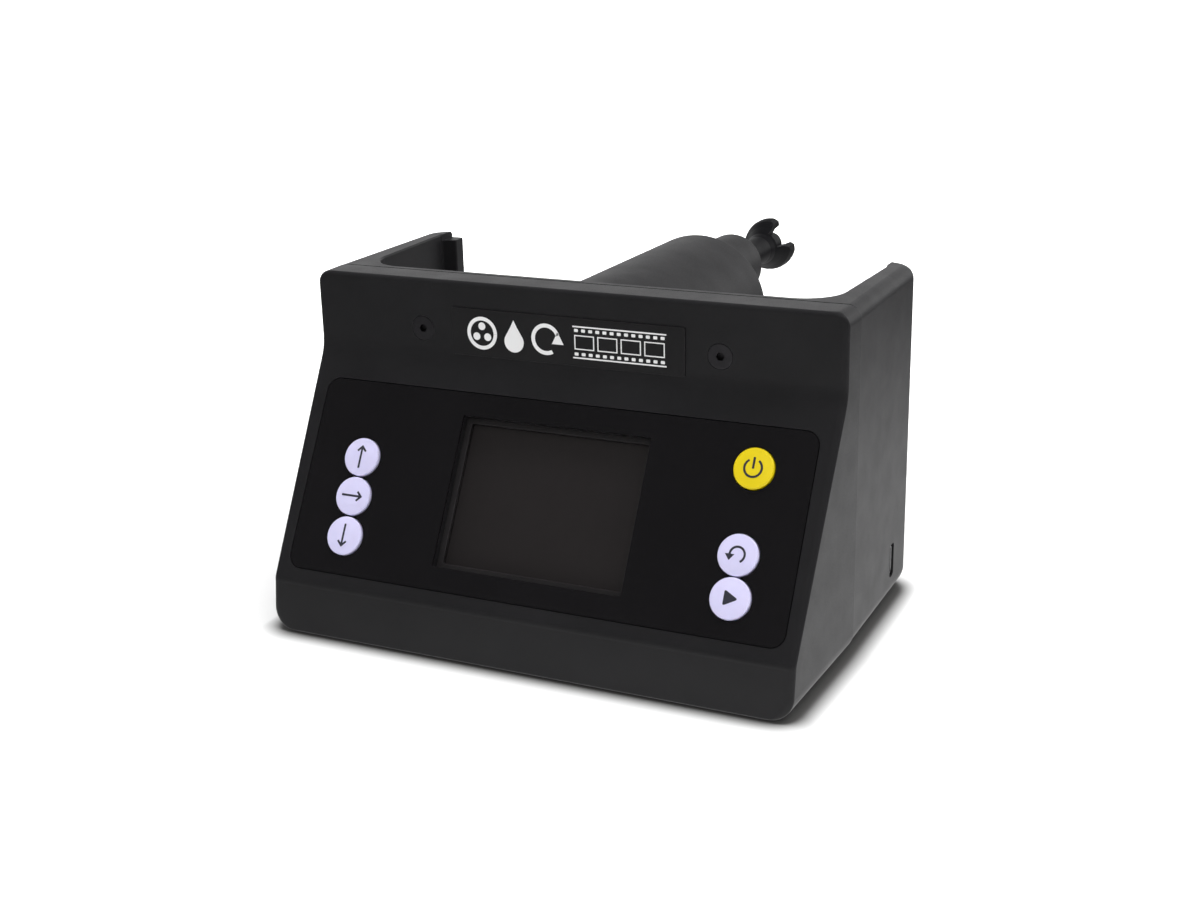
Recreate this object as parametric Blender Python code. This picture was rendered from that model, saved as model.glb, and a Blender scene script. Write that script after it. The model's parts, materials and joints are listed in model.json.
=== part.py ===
"""Bench-top rotary film processor: a motor drives a lobed coupling that turns a developing tank's reels.

The case is a front shell with a sloping control panel, a rear shell with two wings that flank the tank,
and a base plate. A gearmotor sits in a round housing behind the rear shell; its output shaft is offset
from the motor's centre line and carries the coupling.

Frame: metres, +Z up, +X to the operator's right, +Y towards the tank. Depths along Y are measured from the
seam between the two shells. The last step moves everything so that the origin is under the middle of the
whole object, at the height the feet stand on.
"""

import math

import bmesh
import bpy
from mathutils import Matrix, Vector

MM = 0.001
GAP = 0.3 * MM  # clearance between pieces that touch on the real object

# Case
CASE_WIDTH = 165 * MM
CASE_TOP = 101 * MM
CASE_BOTTOM = 2 * MM
WALL = 2.8 * MM
FLOOR = 2.4 * MM
SIDE_DRAFT = 0.038  # how much each side of the front shell closes in per unit of depth
SEAM = GAP / 2

# Front shell
UPPER_FACE_Y = -10.6 * MM
WAIST_Z = 77.7 * MM
SLOPE = math.radians(30)  # of the control panel, from vertical
CHIN_Y = -46.4 * MM
WAIST_RADIUS = 13 * MM
CREASE_RADIUS = 4 * MM
FRONT_EDGE_RADIUS = 1.5 * MM
TOP_SIDE_RADIUS = 4 * MM
TOP_FRONT_RADIUS = 1.3 * MM
BOTTOM_SIDE_RADIUS = 9 * MM
BOTTOM_FRONT_RADIUS = 3 * MM

# Rear shell
REAR_Y = 57 * MM
WEB = 2.2 * MM
WING_ROOT = 9.3 * MM  # thickness of each wing at the web
WING_TIP = 7.5 * MM  # and just before its lip
WING_FILLET = 12 * MM
LIP_X = 70.7 * MM
LIP_Y = 52.2 * MM
LIP_TOP_LEFT = 99 * MM
LIP_TOP_RIGHT = 95 * MM
REAR_TOP_RADIUS = 1.5 * MM
REAR_BOTTOM_RADIUS = 6 * MM
REAR_CORNER_RADIUS = 5.5 * MM
DECK_Z = 22.5 * MM  # top of the battery compartment that joins the wings
DECK = 2.2 * MM

# Base plate, feet and screws
PLATE_X = 70 * MM
PLATE_FRONT = -40 * MM
PLATE_REAR = 49 * MM
PLATE_LOW = CASE_BOTTOM
PLATE_HIGH = CASE_BOTTOM + FLOOR - GAP / 2
PILOT_RADIUS = 1.5 * MM
FOOT_RADIUS = 6 * MM
FOOT_STEM = 1.8 * MM
FOOT_PLACES = {
    "front_left": (-58, -30),
    "front_right": (58, -30),
    "rear_left": (-54, 42),
    "rear_right": (54, 42),
}
BASE_SCREW_PLACES = {
    "front_left": (-45, -34),
    "front_right": (45, -34),
    "rear_left": (-64, 14),
    "rear_right": (64, 14),
}

# Control panel. Distances run down the slope from the waist; depths run into the case.
OVERLAY_HALF = 76.9 * MM
OVERLAY_TOP = 9.4 * MM
OVERLAY_BOTTOM = 67.3 * MM
OVERLAY_RADIUS = 4 * MM
OVERLAY = 0.6 * MM
SCREEN_HALF = 29.5 * MM
SCREEN_TOP = 16.1 * MM
SCREEN_BOTTOM = 60.6 * MM
BUTTON_RADIUS = 5.7 * MM
BUTTON_PROUD = 1.2 * MM
BUTTON_TRAVEL = 0.8 * MM
BUTTON_TABS_TOP = -WALL - GAP - 0.1 * MM
BUTTON_PLACES = {
    "up": (-59.8, 32.3),
    "select": (-59.8, 44.1),
    "down": (-59.8, 56.0),
    "power": (60.4, 21.2),
    "back": (60.4, 44.7),
    "start": (60.4, 56.4),
}
SWITCH_TOP = 6.6 * MM
BOARD_DEPTH = 11.9 * MM
BOARD = 1.6 * MM
BOARD_HALF = 68 * MM
BOARD_TOP = 9 * MM
BOARD_BOTTOM = 60 * MM
BOARD_BOSS = (45 * MM, 20 * MM)

# Upper face
BADGE_HALF = 36.5 * MM
BADGE_LOW = 79.5 * MM
BADGE_HIGH = 93.5 * MM
FRONT_SCREW_X = 46.5 * MM
FRONT_SCREW_Z = 86.2 * MM
SEAT_RADIUS = 3.8 * MM  # countersunk seat of a front screw
SEAT_BORE = 1.9 * MM

# Drive
MOTOR_Z = 75 * MM
SHAFT_OFFSET = 7 * MM
SHAFT_Z = MOTOR_Z + SHAFT_OFFSET
HOUSING_TIP_Y = 91 * MM
HOUSING_TIP_RADIUS = 23.1 * MM
HOUSING_ROOT_RADIUS = 23.8 * MM
HOUSING_BORE = 19.2 * MM
HOUSING_END = 4.1 * MM
HOUSING_SCREW_ANGLES = [math.radians(a) for a in (-90, 30, 150)]
HOUSING_SCREW_CIRCLE = 21.4 * MM
MOTOR_SCREW_ANGLES = [math.radians(a) for a in (-30, -90, -150)]
MOTOR_SCREW_CIRCLE = 15.5 * MM
GEARBOX_RADIUS = 18.5 * MM
GEARBOX_BACK = 60.3 * MM
GEARBOX_FRONT = 86.6 * MM
MOTOR_RADIUS = 17.3 * MM
MOTOR_BACK = 29.5 * MM
SHAFT_RADIUS = 3 * MM
NOSE_RADIUS = 10.7 * MM
NOSE_TIP_Y = 122.2 * MM
CROWN_TIP_Y = 162.3 * MM
CROWN_RADIUS = 9.35 * MM
CROWN_STEM = 5 * MM
CROWN_HUB = 4.2 * MM
CROWN_FLARE_Y = 150 * MM
CROWN_SLOT_ANGLE = math.radians(37)

# Charging slot, low on the right side
USB_Y = 38.3 * MM
USB_LOW = 9 * MM
USB_HIGH = 19.5 * MM

MIDDLE_Y = (CHIN_Y + CROWN_TIP_Y) / 2  # half way along the whole object

# Gear train: module in metres, tooth counts, and the stations of each wheel along Y
FINE_MODULE = 0.4 * MM
COARSE_MODULE = 0.5 * MM
PINION_TEETH = 12
WHEEL_TEETH = 34
LAST_PINION_TEETH = 10
OUTPUT_TEETH = 32
BACKLASH = 0.09  # share of a tooth's pitch that each tooth is narrowed by
GEAR_B_REACH = 9.3 * MM  # from the motor's axis to the second countershaft
PIN_RADIUS = 1.0 * MM
PIN_BORE = 1.3 * MM

BLACK = (0.018, 0.018, 0.02)
DARK_SCREW = (0.03, 0.03, 0.03)
RUBBER = (0.02, 0.02, 0.02)
WHITE_CAP = (0.68, 0.68, 0.83)
YELLOW = (0.95, 0.62, 0.01)
STEEL = (0.55, 0.55, 0.56)
BRASS = (0.62, 0.45, 0.18)
BOARD_GREEN = (0.02, 0.14, 0.06)


# ---------------------------------------------------------------- outlines

def arc(centre, radius, start, end, steps):
    """Points on a circle from angle start to angle end, both included."""
    angles = [start + (end - start) * i / steps for i in range(steps + 1)]
    return [(centre[0] + radius * math.cos(a), centre[1] + radius * math.sin(a)) for a in angles]


def corner_arc(before, corner, after, radius, steps):
    """Points of the arc that rounds one corner of an outline."""
    corner = Vector(corner)
    back = (Vector(before) - corner).normalized()
    ahead = (Vector(after) - corner).normalized()
    half = back.angle(ahead) / 2
    reach = radius / math.tan(half)
    centre = corner + (back + ahead).normalized() * radius / math.sin(half)
    first = corner + back * reach - centre
    last = corner + ahead * reach - centre
    start = math.atan2(first.y, first.x)
    turn = math.atan2(first.x * last.y - first.y * last.x, first.dot(last))
    return arc(centre, radius, start, start + turn, steps)


def rounded(corners, radii, steps=4, closed=True):
    """The outline with each corner rounded to its radius; a radius of 0 keeps the corner."""
    count = len(corners)
    points = []
    for i, (corner, radius) in enumerate(zip(corners, radii)):
        at_end = not closed and i in (0, count - 1)
        if radius <= 0 or at_end:
            points.append(tuple(corner))
            continue
        points += corner_arc(corners[i - 1], corner, corners[(i + 1) % count], radius, steps)
    return points


def rectangle(x_low, x_high, y_low, y_high, radius=0.0, steps=4):
    corners = [(x_low, y_low), (x_high, y_low), (x_high, y_high), (x_low, y_high)]
    return rounded(corners, [radius] * 4, steps)


# ---------------------------------------------------------------- solids, as (points, faces)

def prism(outline, low, high, axis="Z"):
    """The outline extruded along an axis. Its two coordinates are (x, y), (y, z) or (z, x)."""
    order = {"Z": (0, 1, 2), "X": (2, 0, 1), "Y": (1, 2, 0)}[axis]
    points = []
    for level in (low, high):
        for u, v in outline:
            flat = (u, v, level)
            points.append(tuple(flat[k] for k in order))
    count = len(outline)
    faces = [tuple(range(count))[::-1], tuple(range(count, 2 * count))]
    for i in range(count):
        j = (i + 1) % count
        faces.append((i, j, count + j, count + i))
    return points, faces


def block(x_low, x_high, y_low, y_high, z_low, z_high):
    return prism([(x_low, y_low), (x_high, y_low), (x_high, y_high), (x_low, y_high)], z_low, z_high)


def turned(profile, steps):
    """The closed profile of (radius, height) points, turned about Z. Radius 0 is one point on the axis."""
    points = []
    rings = []
    for radius, height in profile:
        if radius <= 0:
            rings.append([len(points)] * steps)
            points.append((0.0, 0.0, height))
            continue
        rings.append(list(range(len(points), len(points) + steps)))
        for i in range(steps):
            angle = math.tau * i / steps
            points.append((radius * math.cos(angle), radius * math.sin(angle), height))
    faces = []
    for ring, after in zip(rings, rings[1:] + rings[:1]):
        if ring[0] == ring[-1] and after[0] == after[-1]:
            continue
        for i in range(steps):
            j = (i + 1) % steps
            corners = [ring[i], ring[j], after[j], after[i]]
            faces.append(tuple(dict.fromkeys(corners)))
    return points, faces


def rod(radius, low, high, steps=16):
    return turned([(0, low), (radius, low), (radius, high), (0, high)], steps)


def tube(inner, outer, low, high, steps=24):
    return turned([(inner, low), (outer, low), (outer, high), (inner, high)], steps)


def moved(solid, offset=(0, 0, 0), turn=None):
    matrix = Matrix.Translation(offset)
    if turn:
        matrix = matrix @ turn
    points, faces = solid
    return [tuple(matrix @ Vector(p)) for p in points], faces


def together(*solids):
    """Separate solids as one mesh, for a cutter that makes several openings."""
    points = []
    faces = []
    for some_points, some_faces in solids:
        start = len(points)
        points += some_points
        faces += [tuple(start + i for i in face) for face in some_faces]
    return points, faces


ALONG_Y = Matrix.Rotation(-math.pi / 2, 4, "X")  # turns a solid made along Z to lie along +Y


def along_y(solid, x, z):
    return moved(solid, (x, 0, z), ALONG_Y)


# ---------------------------------------------------------------- objects

def mesh_of(name, solid):
    points, faces = solid
    mesh = bpy.data.meshes.new(name)
    body = bmesh.new()
    corners = [body.verts.new(p) for p in points]
    for face in faces:
        body.faces.new([corners[i] for i in face])
    bmesh.ops.recalc_face_normals(body, faces=body.faces)
    body.to_mesh(mesh)
    body.free()
    return mesh


def add_object(name, solid, location=(0, 0, 0), rotation=(0, 0, 0), parent=None):
    obj = bpy.data.objects.new(name, mesh_of(name, solid))
    bpy.context.scene.collection.objects.link(obj)
    obj.location = location
    obj.rotation_euler = rotation
    obj.parent = parent
    return obj


def add_piece(name, solid, colour, roughness, metallic=0.0, smooth=30, **place):
    """One sub-part with its own material, its faces smooth where they meet at less than this angle."""
    obj = add_object(name, solid, **place)
    material = bpy.data.materials.new(name + "_finish")
    material.use_nodes = True
    shader = material.node_tree.nodes["Principled BSDF"]
    shader.inputs["Base Color"].default_value = (*colour, 1.0)
    shader.inputs["Roughness"].default_value = roughness
    shader.inputs["Metallic"].default_value = metallic
    obj.data.materials.append(material)
    obj.data.shade_smooth()
    obj.data.set_sharp_from_angle(angle=math.radians(smooth))
    return obj


def shape_with(obj, operation, name, solid, parent=None):
    """Joins a solid to the object, cuts it away, or keeps only what both share."""
    tool = add_object(name, solid, parent=parent)
    tool.hide_render = True
    tool.display_type = "WIRE"
    modifier = obj.modifiers.new(name, "BOOLEAN")
    modifier.operation = operation
    modifier.solver = "EXACT"
    modifier.object = tool


def add_empty(name, location, rotation):
    empty = bpy.data.objects.new(name, None)
    bpy.context.scene.collection.objects.link(empty)
    empty.location = location
    empty.rotation_euler = rotation
    return empty


def add_panel_frame():
    """The control panel's own axes: +X to the right, +Y up the slope, +Z out of the panel."""
    return add_empty("panel_frame", (0, UPPER_FACE_Y, WAIST_Z), (math.pi / 2 - SLOPE, 0, 0))


# ---------------------------------------------------------------- front shell

def half_width(y):
    return CASE_WIDTH / 2 - SIDE_DRAFT * abs(min(y, 0.0))


def face_levels(inset, steps):
    """The front face's (y, z) points at the rounded crease and waist, moved inwards by inset."""
    rise = math.tan(SLOPE)
    shift = inset / math.cos(SLOPE)
    upper = UPPER_FACE_Y + inset
    chin = CHIN_Y + inset
    waist_z = WAIST_Z - (shift - inset) / rise
    crease_z = WAIST_Z - (UPPER_FACE_Y + shift - chin) / rise
    corners = [(chin, CASE_BOTTOM), (chin, crease_z), (upper, waist_z), (upper, CASE_TOP)]
    radii = [0, max(CREASE_RADIUS - inset, MM), WAIST_RADIUS + inset, 0]
    return rounded(corners, radii, steps, closed=False)[1:-1]


def plan_outline(face_y, back_y, inset, corner_radius, steps):
    """One level of the front shell from above, right to left: (x, y, outward x, outward y, side share)."""
    side_x = half_width(face_y) - inset
    points = [(half_width(back_y) - inset, back_y, 1.0, 0.0, 1.0)]
    for i in range(steps + 1):
        angle = -math.pi / 2 * i / steps
        nx = math.cos(angle)
        ny = math.sin(angle)
        x = side_x - corner_radius * (1 - nx)
        y = face_y + corner_radius * (1 + ny)
        points.append((x, y, nx, ny, 1 - i / steps))
    return points + [(-x, y, -nx, ny, share) for x, y, nx, ny, share in reversed(points)]


def shell_rows(inset, bottom_z, top_z, back_y, steps):
    """Rings of points for the front shell: rounded bottom edge, front face levels, rounded top edge."""
    corner = max(FRONT_EDGE_RADIUS - inset, MM)
    levels = face_levels(inset, steps)
    rows = []

    def edge_row(level_y, edge_z, up, angle, side_radius, front_radius):
        row = []
        for x, y, nx, ny, share in plan_outline(level_y, back_y, inset, corner, steps):
            radius = front_radius + (side_radius - front_radius) * share
            tuck = radius * (1 - math.cos(angle))
            z = edge_z - up * radius * (1 - math.sin(angle))
            row.append((x - nx * tuck, y - ny * tuck, z))
        return row

    bottom_radii = (BOTTOM_SIDE_RADIUS - inset, max(BOTTOM_FRONT_RADIUS - inset, MM / 2))
    top_radii = (max(TOP_SIDE_RADIUS - inset, MM / 2), max(TOP_FRONT_RADIUS - inset, MM / 2))
    for i in range(steps, -1, -1):
        rows.append(edge_row(levels[0][0], bottom_z, -1, math.pi / 2 * i / steps, *bottom_radii))
    for level_y, z in levels:
        outline = plan_outline(level_y, back_y, inset, corner, steps)
        rows.append([(x, y, z) for x, y, _, _, _ in outline])
    for i in range(steps + 1):
        rows.append(edge_row(levels[-1][0], top_z, 1, math.pi / 2 * i / steps, *top_radii))
    return rows


def front_solid(inset, bottom_z, top_z, back_y, steps):
    """The front shell's outer form, or its inner one, as a closed solid with a flat back at back_y."""
    rows = shell_rows(inset, bottom_z, top_z, back_y, steps)
    wide = len(rows[0])
    points = [p for row in rows for p in row]
    faces = []
    for r in range(len(rows) - 1):
        for c in range(wide - 1):
            start = r * wide + c
            faces.append((start, start + 1, start + wide + 1, start + wide))
    last = (len(rows) - 1) * wide
    faces.append(tuple(range(wide)))
    faces.append(tuple(range(last, last + wide)))
    left_back = [r * wide + wide - 1 for r in range(len(rows))]
    right_back = [r * wide for r in range(len(rows))]
    faces.append(tuple(right_back + left_back[::-1]))
    return points, faces


def on_panel(solid, x, down):
    """Moves a solid made at the panel's origin to its place on the panel."""
    return moved(solid, (x, -down, 0))


def panel_openings():
    """The overlay's recess and the screen window, in the panel's axes."""
    recess = prism(
        rectangle(-OVERLAY_HALF - GAP, OVERLAY_HALF + GAP, -OVERLAY_BOTTOM - GAP, -OVERLAY_TOP + GAP,
                  OVERLAY_RADIUS + GAP),
        -OVERLAY - GAP, 5 * MM)
    window = prism(rectangle(-SCREEN_HALF, SCREEN_HALF, -SCREEN_BOTTOM, -SCREEN_TOP), -6 * MM, 0)
    return recess, window


def cut_button_holes(obj, label, panel):
    """Round holes for the buttons; neighbours stand so close that their holes run together."""
    for name, (x, down) in BUTTON_PLACES.items():
        hole = on_panel(rod(BUTTON_RADIUS + GAP, -6 * MM, 4 * MM, 18), x * MM, down * MM)
        shape_with(obj, "DIFFERENCE", f"{label}_{name}", hole, parent=panel)


def add_front_shell(panel):
    outer = front_solid(0, CASE_BOTTOM, CASE_TOP, -SEAM, 4)
    shell = add_piece("front_shell", outer, BLACK, 0.42)
    inner = front_solid(WALL, CASE_BOTTOM + FLOOR, CASE_TOP - WALL, 2 * MM, 3)
    shape_with(shell, "DIFFERENCE", "front_cavity", inner)

    boss_x, boss_down = BOARD_BOSS
    post = rod(3.5 * MM, CASE_BOTTOM + FLOOR + GAP, 33 * MM, 10)
    for side, x in (("left", -1), ("right", 1)):
        place = Vector(BASE_SCREW_PLACES["front_" + side]) * MM
        shape_with(shell, "UNION", "front_post_" + side, moved(post, (*place, 0)))
        boss = on_panel(rod(3 * MM, -BOARD_DEPTH + GAP, -2 * MM, 10), x * boss_x, boss_down)
        shape_with(shell, "UNION", "board_boss_" + side, boss, parent=panel)

    recess, window = panel_openings()
    shape_with(shell, "DIFFERENCE", "overlay_recess", recess, parent=panel)
    shape_with(shell, "DIFFERENCE", "shell_window", window, parent=panel)
    cut_button_holes(shell, "shell_hole", panel)
    screw_holes = [
        on_panel(rod(1.5 * MM, -BOARD_DEPTH - 2 * MM, -5 * MM, 8), x * boss_x, boss_down) for x in (-1, 1)
    ]
    shape_with(shell, "DIFFERENCE", "board_screw_holes", together(*screw_holes), parent=panel)

    badge_recess = prism(
        rectangle(BADGE_LOW - GAP, BADGE_HIGH + GAP, -BADGE_HALF - GAP, BADGE_HALF + GAP),
        UPPER_FACE_Y - 5 * MM, UPPER_FACE_Y + 0.7 * MM, "Y")
    cone_end = UPPER_FACE_Y + SEAT_RADIUS - SEAT_BORE
    seat = [
        (0, -20 * MM), (SEAT_RADIUS, -20 * MM), (SEAT_RADIUS, UPPER_FACE_Y), (SEAT_BORE, cone_end),
        (SEAT_BORE, 0), (0, 0),
    ]
    sockets = []
    for x in (-FRONT_SCREW_X, FRONT_SCREW_X):
        sockets.append(along_y(turned(seat, 12), x, FRONT_SCREW_Z))
    shape_with(shell, "DIFFERENCE", "badge_and_screw_holes", together(badge_recess, *sockets))

    base_opening = block(-PLATE_X, PLATE_X, PLATE_FRONT, 5 * MM, -5 * MM, CASE_BOTTOM + FLOOR + GAP / 2)
    shape_with(shell, "DIFFERENCE", "front_base_opening", base_opening)
    pilots = [
        moved(rod(PILOT_RADIUS, 0, 16 * MM, 8), (x * MM, y * MM, 0))
        for name, (x, y) in BASE_SCREW_PLACES.items() if name.startswith("front")
    ]
    shape_with(shell, "DIFFERENCE", "front_pilot_holes", together(*pilots))


# ---------------------------------------------------------------- rear shell

def wing_plan():
    """The rear shell from above: a web between two wings whose ends turn in as lips."""
    over = 0.5 * MM
    side = CASE_WIDTH / 2 + over
    back = REAR_Y + over
    web_y = SEAM + WEB
    root = CASE_WIDTH / 2 - WING_ROOT
    tip = CASE_WIDTH / 2 - WING_TIP
    right = [
        (side, SEAM), (side, back), (LIP_X, back), (LIP_X, LIP_Y), (tip, LIP_Y - 2 * MM), (root, web_y),
    ]
    # The arc keeps its middle point once the overshoot has been cut off.
    corner = REAR_CORNER_RADIUS + over * math.sqrt(2) / (math.sqrt(2) - 1)
    radii = [0, corner, 0, 1 * MM, 1 * MM, WING_FILLET]
    left = [(-x, y) for x, y in reversed(right)]
    return rounded(right + left, radii + radii[::-1], 5)


def side_outline():
    """The wings from the side, as (y, z)."""
    corners = [(-5 * MM, CASE_BOTTOM), (REAR_Y, CASE_BOTTOM), (REAR_Y, CASE_TOP), (-5 * MM, CASE_TOP)]
    return rounded(corners, [0, REAR_BOTTOM_RADIUS, REAR_TOP_RADIUS, 0], 5)


def front_outline():
    """The case's width and height with its rounded corners, as (z, x)."""
    side = CASE_WIDTH / 2
    corners = [(CASE_BOTTOM, -side), (CASE_TOP, -side), (CASE_TOP, side), (CASE_BOTTOM, side)][::-1]
    radii = [BOTTOM_SIDE_RADIUS, TOP_SIDE_RADIUS, TOP_SIDE_RADIUS, BOTTOM_SIDE_RADIUS]
    return rounded(corners, radii, 5)


def housing_screw_place(angle):
    return HOUSING_SCREW_CIRCLE * math.cos(angle), MOTOR_Z + HOUSING_SCREW_CIRCLE * math.sin(angle)


def add_rear_shell():
    shell = add_piece("rear_shell", prism(wing_plan(), 0, CASE_TOP + MM), BLACK, 0.42)
    inner = CASE_WIDTH / 2 - WING_TIP
    deck = block(-inner - 3 * MM, inner + 3 * MM, 1 * MM, REAR_Y - 0.6 * MM, 0, DECK_Z)
    shape_with(shell, "UNION", "deck_block", deck)
    shape_with(shell, "INTERSECT", "front_form", prism(front_outline(), -MM, REAR_Y + 5 * MM, "Y"))
    shape_with(shell, "INTERSECT", "side_form", prism(side_outline(), -CASE_WIDTH, CASE_WIDTH, "X"))

    lip_low = LIP_X - 3 * MM
    lip_high = inner - 0.2 * MM
    above = (LIP_Y - 4 * MM, REAR_Y + 3 * MM)
    left = block(-lip_high, -lip_low, *above, LIP_TOP_LEFT, CASE_TOP + 2 * MM)
    right = block(lip_low, lip_high, *above, LIP_TOP_RIGHT, CASE_TOP + 2 * MM)
    shape_with(shell, "DIFFERENCE", "lip_tops", together(left, right))
    cavity = block(-inner, inner, -MM, REAR_Y - 3.4 * MM, CASE_BOTTOM + FLOOR, DECK_Z - DECK)
    shape_with(shell, "DIFFERENCE", "battery_bay", cavity)

    post = rod(3.5 * MM, CASE_BOTTOM + FLOOR + GAP, DECK_Z - DECK / 2, 10)
    boss = rod(4 * MM, UPPER_FACE_Y + WALL + GAP, MM, 12)
    for side, x in (("left", -1), ("right", 1)):
        place = Vector(BASE_SCREW_PLACES["rear_" + side]) * MM
        shape_with(shell, "UNION", "rear_post_" + side, moved(post, (*place, 0)))
        shape_with(shell, "UNION", "screw_boss_" + side, along_y(boss, x * FRONT_SCREW_X, FRONT_SCREW_Z))

    base_opening = block(-PLATE_X, PLATE_X, -5 * MM, PLATE_REAR, -5 * MM, CASE_BOTTOM + FLOOR + GAP / 2)
    shape_with(shell, "DIFFERENCE", "rear_base_opening", base_opening)
    pilots = [
        moved(rod(PILOT_RADIUS, 0, 16 * MM, 8), (x * MM, y * MM, 0))
        for name, (x, y) in BASE_SCREW_PLACES.items() if name.startswith("rear")
    ]
    shape_with(shell, "DIFFERENCE", "rear_pilot_holes", together(*pilots))

    passage = along_y(rod(HOUSING_BORE - GAP, -3 * MM, 8 * MM, 32), 0, MOTOR_Z)
    clearance = rod(1.6 * MM, -3 * MM, 8 * MM, 12)
    screw_ways = [along_y(clearance, *housing_screw_place(a)) for a in HOUSING_SCREW_ANGLES]
    shape_with(shell, "DIFFERENCE", "housing_ways", together(passage, *screw_ways))
    bore = rod(1.8 * MM, UPPER_FACE_Y, 0.8 * MM, 12)
    bores = [along_y(bore, x, FRONT_SCREW_Z) for x in (-FRONT_SCREW_X, FRONT_SCREW_X)]
    shape_with(shell, "DIFFERENCE", "front_screw_bores", together(*bores))
    slot = rectangle(USB_Y - 2 * MM, USB_Y + 2 * MM, USB_LOW, USB_HIGH, 1.2 * MM, 3)
    shape_with(shell, "DIFFERENCE", "usb_slot", prism(slot, inner - 2 * MM, CASE_WIDTH, "X"))


# ---------------------------------------------------------------- base

def add_base():
    outline = rectangle(-PLATE_X + GAP, PLATE_X - GAP, PLATE_FRONT + GAP, PLATE_REAR - GAP, 1 * MM, 2)
    plate = add_piece("base_plate", prism(outline, PLATE_LOW, PLATE_HIGH), BLACK, 0.55)
    foot_hole = rod(FOOT_STEM + GAP, 0, 9 * MM, 12)
    holes = [moved(foot_hole, (x * MM, y * MM, 0)) for x, y in FOOT_PLACES.values()]
    counterbore = [
        (0, 0), (3.4 * MM, 0), (3.4 * MM, PLATE_LOW + MM), (1.7 * MM, PLATE_LOW + MM), (1.7 * MM, 9 * MM),
        (0, 9 * MM),
    ]
    holes += [
        moved(turned(counterbore, 12), (x * MM, y * MM, 0)) for x, y in BASE_SCREW_PLACES.values()
    ]
    shape_with(plate, "DIFFERENCE", "plate_holes", together(*holes))
    foot = [
        (0, 0), (FOOT_RADIUS - 0.6 * MM, 0), (FOOT_RADIUS, 0.6 * MM), (FOOT_RADIUS, PLATE_LOW - GAP),
        (FOOT_STEM, PLATE_LOW - GAP), (FOOT_STEM, PLATE_HIGH), (0, PLATE_HIGH),
    ]
    for name, (x, y) in FOOT_PLACES.items():
        add_piece("foot_" + name, turned(foot, 14), RUBBER, 0.8, location=(x * MM, y * MM, 0))
    for name, (x, y) in BASE_SCREW_PLACES.items():
        screw = screw_solid(3.0 * MM, 0.9 * MM - GAP, 1.2 * MM, 10 * MM, 1.6 * MM)
        add_piece("base_screw_" + name, screw, STEEL, 0.3, 1.0,
                  location=(x * MM, y * MM, PLATE_LOW + MM - GAP), rotation=(math.pi, 0, 0))


def screw_solid(head_radius, head, shank_radius, length, socket_radius):
    """A cap screw with a socket, its head above Z = 0 and its shank below."""
    return turned([
        (0, -length), (shank_radius * 0.6, -length), (shank_radius, -length + shank_radius),
        (shank_radius, 0), (head_radius, 0), (head_radius, head), (socket_radius, head),
        (socket_radius, head * 0.4), (0, head * 0.4),
    ], 8)


def countersunk_solid(head_radius, shank_radius, length, socket_radius):
    """A countersunk screw with a socket, its flat head at Z = 0 and its shank below."""
    cone = head_radius - shank_radius
    socket = -1.6 * MM
    return turned([
        (0, -length), (shank_radius * 0.6, -length), (shank_radius, -length + shank_radius),
        (shank_radius, -cone), (head_radius, -0.2 * MM), (head_radius, 0), (socket_radius, 0),
        (socket_radius, socket), (0, socket),
    ], 12)


def add_front_screws():
    for side, x in (("left", -FRONT_SCREW_X), ("right", FRONT_SCREW_X)):
        screw = countersunk_solid(3.3 * MM, 1.4 * MM, 9.6 * MM, 1.25 * MM)
        add_piece("front_screw_" + side, screw, DARK_SCREW, 0.35, 1.0,
                  location=(x, UPPER_FACE_Y + 0.1 * MM, FRONT_SCREW_Z), rotation=(math.pi / 2, 0, 0))


# ---------------------------------------------------------------- control panel

def add_overlay(panel):
    outline = rectangle(-OVERLAY_HALF, OVERLAY_HALF, -OVERLAY_BOTTOM, -OVERLAY_TOP, OVERLAY_RADIUS)
    sheet = prism(outline, -OVERLAY, 0)
    overlay = add_piece("panel_overlay", sheet, (0.008, 0.008, 0.009), 0.16, parent=panel)
    window = prism(rectangle(-SCREEN_HALF, SCREEN_HALF, -SCREEN_BOTTOM, -SCREEN_TOP), -5 * MM, 5 * MM)
    shape_with(overlay, "DIFFERENCE", "overlay_window", window, parent=panel)
    cut_button_holes(overlay, "overlay_hole", panel)


def frame_solid(half, low, high, border, under, over):
    """A rectangular frame in the panel's axes, its window a border in from its edges."""
    outer = [(-half, low), (half, low), (half, high), (-half, high)]
    inner_half = half - border
    inner = [(-inner_half, low + border), (inner_half, low + border),
             (inner_half, high - border), (-inner_half, high - border)]
    points = []
    for level in (under, over):
        points += [(x, y, level) for x, y in outer + inner]
    faces = []
    for i in range(4):
        j = (i + 1) % 4
        faces += [(i, j, 8 + j, 8 + i), (4 + j, 4 + i, 12 + i, 12 + j)]
        faces += [(i, 4 + i, 4 + j, j), (8 + i, 8 + j, 12 + j, 12 + i)]
    return points, faces


def add_display(panel):
    edge = 4 * MM
    low = -SCREEN_BOTTOM - edge
    high = -SCREEN_TOP + edge
    half = SCREEN_HALF + edge
    bezel = frame_solid(half, low, high, edge + 1.6 * MM, -4.3 * MM, -WALL - GAP)
    add_piece("display_bezel", bezel, (0.01, 0.01, 0.01), 0.35, parent=panel)
    glass = prism(rectangle(-half, half, low, high), -6.6 * MM, -4.6 * MM)
    add_piece("display_glass", glass, (0.012, 0.011, 0.011), 0.08, parent=panel)
    board = prism(rectangle(-half, half, low, high), -8.5 * MM, -6.9 * MM)
    add_piece("display_board", board, BOARD_GREEN, 0.5, parent=panel)


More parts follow.
